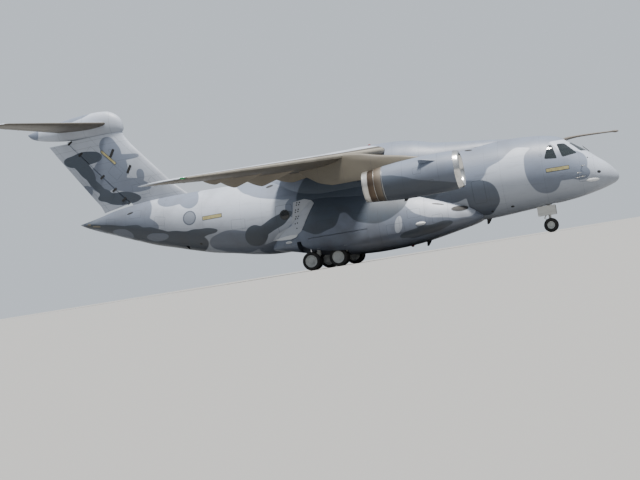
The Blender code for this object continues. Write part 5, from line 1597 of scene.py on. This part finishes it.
# Camouflage patches seen from the side: station, height, half length, half height, turn
patches = {
    "hullMiddle": ((3.90, 3.55, 1.00, 1.45, 0), (2.60, 3.50, 1.12, 0.82, 0), (1.95, 2.98, 0.52, 0.36, 0),
                   (4.20, 5.40, 1.90, 0.58, 0), (7.00, 5.05, 2.60, 0.95, -20), (8.90, 4.20, 2.05, 1.20, 0),
                   (19.50, 5.30, 2.40, 0.80, 15), (17.90, 3.75, 0.72, 0.60, 0),
                   (21.90, 2.35, 1.75, 0.68, 5),
                   (25.60, 5.85, 1.40, 0.72, 0), (24.62, 5.25, 0.56, 0.46, 0), (28.70, 5.05, 1.60, 1.00, 0),
                   (30.80, 4.95, 1.40, 0.70, 0), (27.70, 4.25, 0.95, 0.50, 15),
                   (19.20, 1.60, 1.60, 0.40, 0)),
    # Middle paint drawn in a deeper grey as painted shade, around the hatch and under the engine.
    "hullShade": ((7.36, 2.48, 0.88, 0.95, 0), (9.60, 3.10, 2.40, 0.62, 0)),
    "hullDark": ((12.90, 3.90, 3.60, 1.75, 0),
                 (15.60, 4.20, 2.30, 1.70, 0), (19.55, 3.00, 1.45, 0.33, -24),
                 (20.65, 2.52, 0.68, 0.60, -15),
                 (24.20, 3.22, 1.20, 0.26, 2), (25.40, 2.90, 1.75, 0.68, 11), (27.30, 3.55, 1.35, 0.52, 14),
                 (28.60, 4.02, 0.80, 0.48, 12), (29.95, 4.40, 1.20, 0.28, 10),
                 (31.20, 4.72, 0.90, 0.16, 14)),
    "hullInlay": ((26.95, 3.42, 0.76, 0.26, 4), (29.40, 4.05, 0.75, 0.26, 16)),
    "bellyLight": ((9.90, 2.60, 1.90, 0.80, 16), (8.80, 2.05, 0.95, 0.50, 8),
                   (12.10, 1.75, 0.46, 0.20, -67)),
    "bellyDark": ((13.20, 3.40, 1.85, 1.32, 0), (16.70, 3.10, 1.30, 1.10, 0), (14.60, 4.30, 3.40, 1.40, 0),
                  (10.70, 1.24, 1.45, 0.27, -6), (11.60, 3.90, 1.10, 0.80, 0)),
    "finMiddle": ((29.75, 9.25, 0.68, 0.95, -14), (29.85, 8.10, 1.15, 1.10, 0),
                  (30.60, 7.60, 0.95, 0.80, 20),
                  (28.75, 8.70, 0.80, 0.20, 0), (27.90, 7.45, 0.24, 0.40, 0), (31.75, 7.10, 0.40, 0.36, 40),
                  (28.70, 6.95, 1.30, 0.45, 12), (35.20, 11.20, 0.80, 0.60, 0),
                  (32.00, 11.72, 1.20, 0.22, -4)),
    "finDark": ((31.70, 9.10, 1.30, 0.46, 0), (31.70, 8.45, 1.00, 0.42, 48), (31.00, 7.30, 0.95, 0.28, 50),
                (29.60, 6.30, 1.50, 0.38, 8), (30.40, 6.55, 0.55, 0.38, 40)),
}


def camoPaint(name, plan, base, lists, lines=None, amount=0.35, streak=0.5, rough=0.46, extra=None,
              fade=None):
    # Three-tone camouflage on the flat coordinates that plan gives, with slightly wandering edges.
    material, sheet, shader, point = startMaterial(name)
    flat = plan(sheet, point)
    wander = sheet.add("ShaderNodeVectorMath", operation="MULTIPLY_ADD")
    sheet.feed(wander.inputs[0], sheet.join(sheet.noise(point, 0.8, 0.0), sheet.noise(point, 1.1, 0.0)))
    wander.inputs[1].default_value = (0.30, 0.24, 0)
    shifted = sheet.add("ShaderNodeVectorMath", operation="ADD")
    sheet.feed(wander.inputs[2], flat)
    sheet.feed(shifted.inputs[0], wander.outputs[0])
    shifted.inputs[1].default_value = (-0.15, -0.12, 0)
    colour = base if not callable(base) else base(sheet, point)
    for key, shade in lists:
        colour = sheet.mix(addPatches(sheet, shifted.outputs[0], patches[key]), colour, greys[shade])
    if extra:
        colour = extra(sheet, point, flat, colour)
    finishPaint(sheet, shader, point, colour, lines(sheet, point, flat) if lines else None,
                amount, streak, rough, fade=fade)
    return material


def sidePlan(sheet, point):
    return sheet.group(hullMap, Vector=point)["Side"]


hullSeams = {
    "rings": (1.95, 3.92, 6.2, 7.0, 9.1, 10.6, 12.1, 13.6, 15.1, 16.6, 18.0, 20.1, 21.4, 23.8, 26.3, 27.6,
              29.0, 30.4, 31.6),
    "laps": (0.62, 1.75, 2.55, 3.85, 5.0, 6.0),
    # Panel outlines: centre, half length, half height, turn, corner, line width
    "panels": ((7.52, 2.83, 0.34, 0.62, 0, 0.10, 0.016), (18.75, 3.02, 0.50, 0.98, 0, 0.14, 0.011),
               (21.6, 3.35, 0.42, 0.28, 4, 0.05, 0.008), (28.3, 5.05, 0.42, 0.22, 4, 0.05, 0.008),
               (26.6, 4.35, 0.36, 0.26, 12, 0.05, 0.008), (30.1, 4.85, 0.34, 0.20, 8, 0.05, 0.008),
               (20.9, 2.15, 0.30, 0.16, 8, 0.04, 0.008), (12.85, 2.85, 0.30, 0.25, 0, 0.06, 0.009),
               (1.90, 2.62, 0.20, 0.16, 0, 0.04, 0.010), (3.95, 4.25, 0.07, 0.07, 0, 0.07, 0.010)),
}


def hullLines(sheet, point, flat):
    skin = sheet.group(hullMap, Vector=point)
    around = sheet.size(skin["Girth"])
    lines = sheet.times(addRings(sheet, skin["Station"], hullSeams["rings"], 0.0045), 0.75)
    lines = addFrames(sheet, flat, hullSeams["panels"], lines)
    laps = sheet.times(addRings(sheet, around, hullSeams["laps"], 0.004), 0.55)
    inBarrel = sheet.under(sheet.size(sheet.minus(skin["Station"], 16.4)), 12.5)
    return sheet.most(lines, sheet.times(laps, inBarrel))


def hullMarks(sheet, point, flat, colour):
    # Plain disc on the rear fuselage, and the shaded ring round it.
    spot = sheet.turned(flat, (24.6, 4.22, 0), 0, (0.43, 0.43, 1))
    u, v, _ = sheet.split(spot)
    reach = sheet.vector("LENGTH", sheet.join(u, v))
    colour = sheet.mix(sheet.under(reach, 1.0), colour, tone(96, 104, 118))
    return sheet.mix(sheet.under(reach, 0.82), colour, tone(134, 142, 156))


def flatSide(sheet, point):
    x, y, z = sheet.split(point)
    return sheet.join(sheet.minus(midStation, x), z, y)


def flatPlan(sheet, point):
    x, y, z = sheet.split(point)
    return sheet.join(sheet.minus(midStation, x), sheet.size(y), z)


def wingShare(sheet, point):
    # Share of the chord behind the leading edge, and distance from the centre.
    x, y, z = sheet.split(point)
    across = sheet.size(y)
    s = sheet.minus(midStation, x)
    lead = sheet.plus(sheet.times(sheet.minus(across, 1.7), 0.4343), 12.48)
    outer = sheet.ramp(across, 5.5, 16.3, 19.02, 20.50)
    chord = sheet.minus(outer, lead)
    return sheet.maths("DIVIDE", sheet.minus(s, lead), chord), across, chord


def wingBase(sheet, point):
    # Light upper skin, and a dark warm grey below that is painted shade, parted over the leading edge.
    x, y, z = sheet.split(point)
    share, across, chord = wingShare(sheet, point)
    level = sheet.minus(6.235, sheet.times(across, 0.0704))
    level = sheet.minus(level, sheet.times(sheet.times(share, chord), wing["fall"]))
    upper = sheet.times(sheet.ramp(sheet.minus(z, level), -0.02, 0.02), sheet.ramp(share, 0.040, 0.050))
    return sheet.mix(upper, greys["under"], greys["light"])


def tailBase(sheet, point):
    # Light upper skin, and a dark warm grey below that is painted shade, parted just behind the leading
    # edge.
    x, y, z = sheet.split(point)
    across = sheet.size(y)
    level = sheet.plus(10.985, sheet.times(across, 0.0245))
    behind = sheet.minus(sheet.minus(midStation - 29.42, x), sheet.times(across, 0.6153))
    upper = sheet.times(sheet.ramp(sheet.minus(z, level), -0.01, 0.01), sheet.ramp(behind, 0.09, 0.11))
    return sheet.mix(upper, greys["under"], greys["light"])


wingSeams = {"spars": (0.14, 0.34, 0.58), "ribs": (2.6, 4.1, 5.5, 6.9, 8.4, 9.9, 11.4, 12.9, 14.6, 16.3)}


def wingLines(sheet, point, flat):
    share, across, chord = wingShare(sheet, point)
    width = sheet.maths("DIVIDE", 0.0055, chord)
    lines = 0.0
    for spot in wingSeams["spars"]:
        gap = sheet.size(sheet.minus(share, spot))
        lines = sheet.most(lines, sheet.under(gap, width))
    lines = addRings(sheet, across, wingSeams["ribs"], 0.005, lines)
    # Oval tank covers in a row between the spars.
    along = sheet.minus(sheet.maths("FRACT", sheet.maths("DIVIDE", across, 0.75)), 0.5)
    spot = sheet.join(sheet.times(along, 0.75), sheet.times(sheet.minus(share, 0.46), chord))
    cover = sheet.group(frameLine, **{"Point": spot, "Half Length": 0.22, "Half Height": 0.13,
                                      "Corner": 0.125, "Width": 0.006})["Line"]
    inner = sheet.under(across, 15.2)
    return sheet.most(lines, sheet.times(sheet.times(cover, inner), 0.8))


def wingEdge(sheet, point, flat, colour):
    # Bare polished leading edge, dulled along its rear border.
    share, across, chord = wingShare(sheet, point)
    return sheet.mix(sheet.ramp(share, 0.016, 0.012), colour, tone(150, 146, 136))


def finLines(sheet, point, flat):
    panels = ((29.67, 9.2, 0.20, 0.07, 60, 0.03, 0.01), (28.62, 8.08, 0.20, 0.08, 60, 0.03, 0.01),
              (28.1, 6.6, 0.55, 0.34, 0, 0.05, 0.008), (29.6, 7.9, 0.4, 0.3, 50, 0.05, 0.008),
              (30.9, 9.3, 0.45, 0.26, 50, 0.05, 0.008), (27.2, 6.9, 0.34, 0.15, 51, 0.04, 0.008))
    u, v, _ = sheet.split(flat)
    edge = sheet.minus(sheet.minus(u, 25.98), sheet.times(sheet.minus(v, 6.60), 0.8276))
    lines = addRings(sheet, edge, (0.42, 1.9), 0.007)
    lines = addRings(sheet, v, (6.05, 7.3, 8.6, 9.75, 10.15), 0.006, lines)
    tab = sheet.minus(sheet.minus(u, 30.0), sheet.times(sheet.minus(v, 5.75), 0.667))
    tab = sheet.under(sheet.size(sheet.minus(tab, 0.55)), 0.008)
    return addFrames(sheet, flat, panels, sheet.most(lines, tab))


def bellyLines(sheet, point, flat):
    u, v, w = sheet.split(flat)
    lines = addRings(sheet, u, (9.35, 10.6, 12.05, 13.2, 18.05, 19.0), 0.006)
    rows = ((12.3, 1.55, 0.5, 0.28, 0, 0.06, 0.008), (11.2, 2.25, 0.36, 0.24, 0, 0.05, 0.008),
            (9.95, 1.75, 0.28, 0.22, 0, 0.05, 0.008), (16.3, 2.45, 0.5, 0.25, 0, 0.05, 0.008),
            (14.2, 2.55, 0.42, 0.22, 0, 0.05, 0.008), (18.35, 1.75, 0.2, 0.2, 0, 0.05, 0.008))
    lines = addFrames(sheet, flat, rows, lines)
    below = sheet.join(u, sheet.size(w))
    rows = ((13.9, 1.62, 1.0, 0.42, 0, 0.08, 0.008), (11.2, 1.45, 0.8, 0.36, 0, 0.08, 0.008),
            (16.6, 0.0, 1.5, 0.95, 0, 0.08, 0.008), (12.3, 0.0, 1.3, 0.8, 0, 0.08, 0.008),
            (9.4, 0.0, 0.8, 0.62, 0, 0.08, 0.008))
    under = addFrames(sheet, below, rows)
    return sheet.most(lines, sheet.times(under, sheet.under(v, 1.02)))


def cowlLines(sheet, point, flat):
    u, v, w = sheet.split(flat)
    lines = addRings(sheet, u, (9.0, 10.9, 12.05), 0.006)
    up = sheet.minus(v, 3.95)
    across = sheet.minus(sheet.size(w), 5.2)
    around = sheet.maths("ARCTAN2", across, up)
    lines = addRings(sheet, sheet.size(around), (3.137,), 0.006, lines)
    panel = sheet.join(u, sheet.size(around))
    rows = ((9.9, 2.3, 0.34, 0.22, 0, 0.05, 0.007), (9.4, 1.9, 0.10, 0.08, 0, 0.03, 0.012),
            (11.5, 2.5, 0.26, 0.18, 0, 0.05, 0.007), (10.1, 1.25, 0.22, 0.16, 0, 0.05, 0.007))
    return addFrames(sheet, panel, rows, lines)


def cowlPaint():
    # Middle grey, a dark sweep along its lower rear, bare tinted metal aft of the last seam, and painted
    # shade darkening towards its underside.
    material, sheet, shader, point = startMaterial("cowlPaint")
    flat = flatSide(sheet, point)
    u, v, w = sheet.split(flat)
    wave = sheet.times(sheet.noise(point, 0.7, 1.0), 0.5)
    edge = sheet.plus(sheet.minus(v, sheet.times(u, 0.30)), wave)
    colour = sheet.mix(sheet.ramp(edge, 1.12, 1.08), greys["middle"], tone(78, 88, 103))
    band = sheet.ramp(u, 12.06, 12.09)
    colour = sheet.mix(band, colour,
                       sheet.mix(sheet.ramp(u, 12.1, 12.55), tone(150, 140, 128), tone(104, 92, 80)))
    finishPaint(sheet, shader, point, colour, cowlLines(sheet, point, flat), 0.3, 0.5,
                fade=(3.1, 4.9, 0.45))
    sheet.feed(shader.inputs["Metallic"], sheet.times(band, 0.9))
    return material


def plainPaint(name, colour, amount=0.3, streak=0.5, rough=0.46, metal=0.0, lines=None, fade=None):
    material, sheet, shader, point = startMaterial(name)
    shader.inputs["Metallic"].default_value = metal
    given = colour(sheet, point) if callable(colour) else colour
    drawn = lines(sheet, point, flatSide(sheet, point)) if lines else None
    finishPaint(sheet, shader, point, given, drawn, amount, streak, rough, fade=fade)
    return material


def nozzleMetal():
    # Bronze band that ends in a bright bare ring.
    material, sheet, shader, point = startMaterial("nozzleMetal")
    shader.inputs["Metallic"].default_value = 0.9
    s = sheet.plus(sheet.minus(midStation, sheet.split(point)[0]),
                   sheet.times(sheet.noise(point, 3.0, 3.0), 0.05))
    colour = sheet.mix(sheet.ramp(s, 12.45, 12.8), tone(104, 92, 80), tone(84, 72, 62))
    colour = sheet.mix(sheet.ramp(s, 12.84, 12.88), colour, tone(206, 204, 200))
    marks = sheet.group(grimeAndShade, Vector=point, Amount=0.4, Streak=0.8)
    colour = sheet.mix(sheet.times(marks["Dirt"], 0.5), colour, tone(52, 46, 42))
    sheet.feed(shader.inputs["Base Color"], colour)
    sheet.feed(shader.inputs["Roughness"], sheet.ramp(marks["Grain"], 0.2, 0.8, 0.26, 0.46))
    return material


def brushedMetal(name, colour, rough=0.3, stretch=(1, 18, 18)):
    material, sheet, shader, point = startMaterial(name)
    shader.inputs["Metallic"].default_value = 1.0
    lay = sheet.noise(sheet.vector("MULTIPLY", point, stretch), 9.0, 4.0)
    spots = sheet.noise(point, 5.0, 4.0)
    sheet.feed(shader.inputs["Base Color"], sheet.mix(sheet.ramp(spots, 0.45, 0.75, 0, 0.35), colour,
                                                       tone(96, 92, 88)))
    sheet.feed(shader.inputs["Roughness"], sheet.ramp(lay, 0.2, 0.8, rough - 0.08, rough + 0.12))
    addBump(sheet, shader, lay, 0.15, 0.002)
    return material


def tyreRubber():
    material, sheet, shader, point = startMaterial("tyreRubber")
    dust = sheet.ramp(sheet.noise(point, 4.0, 5.0, 0.7), 0.45, 0.75)
    low = sheet.ramp(sheet.split(point)[2], 0.35, 0.0)
    colour = sheet.mix(sheet.times(dust, 0.35), tone(33, 33, 34), tone(84, 80, 74))
    colour = sheet.mix(sheet.times(low, 0.25), colour, tone(96, 92, 86))
    sheet.feed(shader.inputs["Base Color"], colour)
    sheet.feed(shader.inputs["Roughness"], sheet.ramp(dust, 0, 1, 0.72, 0.92))
    addBump(sheet, shader, sheet.noise(point, 60.0, 2.0), 0.4, 0.002)
    return material


def tintedGlass():
    material, sheet, shader, point = startMaterial("tintedGlass")
    shader.inputs["Transmission Weight"].default_value = 0.72
    shader.inputs["IOR"].default_value = 1.45
    shader.inputs["Metallic"].default_value = 0.0
    smear = sheet.noise(sheet.vector("MULTIPLY", point, (1, 1, 3)), 2.2, 3.0)
    sheet.feed(shader.inputs["Base Color"],
               sheet.mix(sheet.ramp(smear, 0.4, 0.7), tone(64, 74, 80), tone(78, 88, 92)))
    sheet.feed(shader.inputs["Roughness"], sheet.ramp(smear, 0.4, 0.8, 0.02, 0.10))
    return material


def glowStrip():
    material, sheet, shader, point = startMaterial("formationStrip")
    shade = sheet.noise(point, 6.0, 3.0)
    sheet.feed(shader.inputs["Base Color"],
               sheet.mix(sheet.ramp(shade, 0.4, 0.7), tone(156, 149, 108), tone(132, 125, 88)))
    shader.inputs["Roughness"].default_value = 0.4
    return material


def wovenFabric(name, colour, dark):
    material, sheet, shader, point = startMaterial(name)
    weave = sheet.add("ShaderNodeTexChecker")
    sheet.feed(weave.inputs["Vector"], point)
    weave.inputs["Scale"].default_value = 260.0
    worn = sheet.ramp(sheet.noise(point, 7.0, 4.0), 0.4, 0.7)
    mixed = sheet.mix(sheet.times(weave.outputs["Fac"], 0.3), colour, dark)
    sheet.feed(shader.inputs["Base Color"], sheet.mix(sheet.times(worn, 0.3), mixed, dark))
    shader.inputs["Roughness"].default_value = 0.9
    shader.inputs["Sheen Weight"].default_value = 0.3
    addBump(sheet, shader, weave.outputs["Fac"], 0.3, 0.001)
    return material


def lampGlass(name, colour, through):
    material, sheet, shader, point = startMaterial(name)
    shader.inputs["Transmission Weight"].default_value = through
    smear = sheet.noise(point, 6.0, 3.0)
    sheet.feed(shader.inputs["Base Color"],
               sheet.mix(sheet.ramp(smear, 0.4, 0.8, 0, 0.12), colour, tone(110, 108, 100)))
    sheet.feed(shader.inputs["Roughness"], sheet.ramp(smear, 0.4, 0.8, 0.06, 0.2))
    return material


# The last band given to the hull, belly, fin, bullet and radome paints darkens them towards the underside
# as painted shade.
paint["hull"] = camoPaint("hullPaint", sidePlan, greys["light"],
                          (("hullMiddle", "middle"), ("hullShade", "deep"), ("hullDark", "dark"),
                           ("hullInlay", "middle")), hullLines, extra=hullMarks, fade=(1.4, 4.0, 0.45, 3.4))
paint["belly"] = camoPaint("bellyPaint", flatSide, greys["middle"],
                           (("bellyLight", "light"), ("bellyDark", "dark")), bellyLines, 0.45,
                           fade=(0.5, 2.7, 0.5))
paint["saddle"] = camoPaint("saddlePaint", sidePlan, greys["middle"], (("hullDark", "dark"),), hullLines)
paint["fin"] = camoPaint("finPaint", flatSide, greys["light"],
                         (("finMiddle", "middle"), ("finDark", "dark")), finLines, 0.25,
                         fade=(5.0, 11.5, 0.6))
paint["bullet"] = camoPaint("bulletPaint", flatSide, greys["light"], (("finMiddle", "middle"),),
                            lambda sheet, point, flat: addRings(sheet, sheet.split(flat)[0],
                                                                (29.45, 31.2, 33.0, 34.5), 0.007), 0.25,
                            fade=(9.9, 11.6, 0.6))
paint["wing"] = camoPaint("wingPaint", flatPlan, wingBase, (), wingLines, 0.4, extra=wingEdge)
paint["tailplane"] = plainPaint("tailplanePaint", tailBase, 0.3,
                                lines=lambda sheet, point, flat: addRings(sheet,
                                                                          sheet.size(sheet.split(flat)[2]),
                                                                          (0.7, 2.3, 4.1, 5.9), 0.006))
paint["radome"] = plainPaint("radomePaint", greys["light"], 0.25, 0.3, fade=(1.4, 4.0, 0.45))
paint["cowl"] = cowlPaint()
paint["pylon"] = plainPaint("pylonPaint", tone(100, 95, 84), 0.35,
                            lines=lambda sheet, point, flat: addRings(sheet, sheet.split(flat)[0],
                                                                      (11.0, 12.6, 14.2, 15.6), 0.006))
paint["hotMetal"] = nozzleMetal()
paint["glass"] = tintedGlass()
paint["rubber"] = tyreRubber()
paint["strip"] = glowStrip()
paint["fabric"] = wovenFabric("seatFabric", tone(70, 78, 74), tone(38, 42, 42))

# Name, colour, dirt, streaks, roughness
plainPaints = {
    "track": ("trackPaint", tone(110, 104, 93), 0.35),
    "probe": ("probePaint", tone(100, 95, 89), 0.2),
    "seal": ("paneSeal", tone(52, 56, 60), 0.1, 0.1, 0.6),
    "gear": ("gearPaint", tone(206, 208, 205), 0.3, 0.6, 0.4),
    "primer": ("insidePaint", tone(168, 172, 166), 0.3, 0.3, 0.6),
    "dark": ("darkInterior", tone(56, 59, 62), 0.25, 0.1, 0.7),
    # Black for real fittings, and for the painted shade of holes, slots and intakes.
    "black": ("blackFitting", tone(24, 25, 27), 0.15, 0.1, 0.6),
    "floor": ("deckFloor", tone(118, 120, 118), 0.5, 0.3, 0.55),
    "spinner": ("spinnerPaint", tone(64, 67, 72), 0.2, 0.1, 0.4),
    "white": ("whiteFitting", tone(206, 209, 212), 0.2, 0.3, 0.42),
    "deflector": ("deflectorPaint", tone(172, 177, 186), 0.3, 0.5),
}
# Name, colour, roughness
metals = {
    "lip": ("polishedLip", tone(214, 214, 212), 0.18),
    "steel": ("brushedSteel", tone(172, 172, 170), 0.32),
    "blade": ("fanBlades", tone(118, 120, 124), 0.38),
    "coreMetal": ("coreMetal", tone(104, 102, 100), 0.42),
    "chrome": ("chromedRod", tone(222, 222, 224), 0.12),
}
# Name, colour, share of light let through
glasses = {
    # Opaque near-black window glass, painted shade of the cabin behind it.
    "darkPane": ("darkPane", tone(26, 30, 34), 0.0),
    "lens": ("taxiLens", tone(216, 218, 214), 0.25),
    "screen": ("panelScreen", tone(22, 30, 34), 0.0),
    "redGlass": ("redLamp", tone(150, 26, 20), 0.3),
    "greenGlass": ("greenLamp", tone(24, 128, 74), 0.3),
    "clearGlass": ("clearLamp", tone(214, 216, 214), 0.3),
}
for make, table in ((plainPaint, plainPaints), (brushedMetal, metals), (lampGlass, glasses)):
    for key, values in table.items():
        paint[key] = make(*values)

stages = (
    ("fuselage", buildHull, buildCrewDoor, buildNoseGearDoors, buildRamp, buildUpperDoor),
    ("sponsons", buildSponsons, buildSaddle),
    ("wings and tail", buildWings, buildBullet, buildFin, buildTailplane),
    ("engines", buildEngines, buildPylons, buildProbe),
    ("fans and engine parts", buildFans),
    ("gear and wheels", buildWheels, buildNoseLeg, buildTaxiLamps, buildNoseFork, buildNoseHoses,
     buildMainGear),
    ("cockpit and hold", buildDeck, buildSeats, buildConsoles, buildScreens, buildHold),
    ("fittings", buildStrips, buildAntennas, buildWindows, buildMarks, buildAirProbes, buildBlisters,
     buildHinges, buildLamps, buildWicks, buildWipers, buildIntakes),
)
for title, *builders in stages:
    print(title)
    for build in builders:
        build()

print("floor, light and camera")
view = {"azimuth": 14.09, "distance": 66.0, "height": 0.10, "centre": 0.6, "lens": 62.93,
        "aim": (-0.015, 0.0, 1.71), "roll": -9.127}
stage = {
    "floor": (0.29, 0.29, 0.285, 1), "floorReach": 300, "floorRough": 0.9,
    # Sky dim at the horizon and bright overhead, and the backdrop that the camera sees
    "horizon": (0.24, 0.26, 0.29, 1), "zenith": (0.78, 0.84, 0.92, 1), "backdrop": (0.66, 0.72, 0.79, 1),
    "sun": 8.0, "sunAngle": 10, "sunColour": (1.0, 0.96, 0.9), "sunFrom": (0.22, -0.20, 0.95),
}


def buildStage():
    bm = bmesh.new()
    bmesh.ops.create_circle(bm, cap_ends=True, segments=96, radius=stage["floorReach"])
    mesh = bpy.data.meshes.new("floor")
    bm.to_mesh(mesh)
    bm.free()
    floor = bpy.data.objects.new("floor", mesh)
    scene.collection.objects.link(floor)
    material, sheet, shader, point = startMaterial("paleFloor")
    shader.inputs["Base Color"].default_value = stage["floor"]
    shader.inputs["Roughness"].default_value = stage["floorRough"]
    mesh.materials.append(material)

    world = bpy.data.worlds.new("studioSky")
    scene.world = world
    world.use_nodes = True
    sky = Sheet(world.node_tree)
    background = world.node_tree.nodes["Background"]
    high = sky.ramp(sky.split(sky.add("ShaderNodeTexCoord").outputs["Generated"])[2], 0.0, 0.8)
    light = sky.mix(high, stage["horizon"], stage["zenith"])
    seen = sky.add("ShaderNodeLightPath").outputs["Is Camera Ray"]
    sky.feed(background.inputs["Color"], sky.mix(seen, light, stage["backdrop"]))
    lamp = bpy.data.lights.new("softSun", "SUN")
    lamp.energy = stage["sun"]
    lamp.angle = math.radians(stage["sunAngle"])
    lamp.color = stage["sunColour"]
    sun = bpy.data.objects.new("softSun", lamp)
    sun.rotation_euler = Vector(stage["sunFrom"]).to_track_quat("Z", "Y").to_euler()
    scene.collection.objects.link(sun)


def buildCamera():
    turn = math.radians(view["azimuth"])
    aim = Vector(view["aim"])
    spot = Vector((view["centre"] + view["distance"] * math.sin(turn), -view["distance"] * math.cos(turn),
                   view["height"]))
    lens = bpy.data.cameras.new("photoCamera")
    lens.lens = view["lens"]
    lens.sensor_width = 36
    lens.clip_end = 2000
    camera = bpy.data.objects.new("photoCamera", lens)
    camera.location = spot
    roll = Matrix.Rotation(math.radians(view["roll"]), 3, "Z")
    camera.rotation_euler = ((aim - spot).to_track_quat("-Z", "Y").to_matrix() @ roll).to_euler()
    scene.collection.objects.link(camera)
    scene.camera = camera


buildStage()
buildCamera()
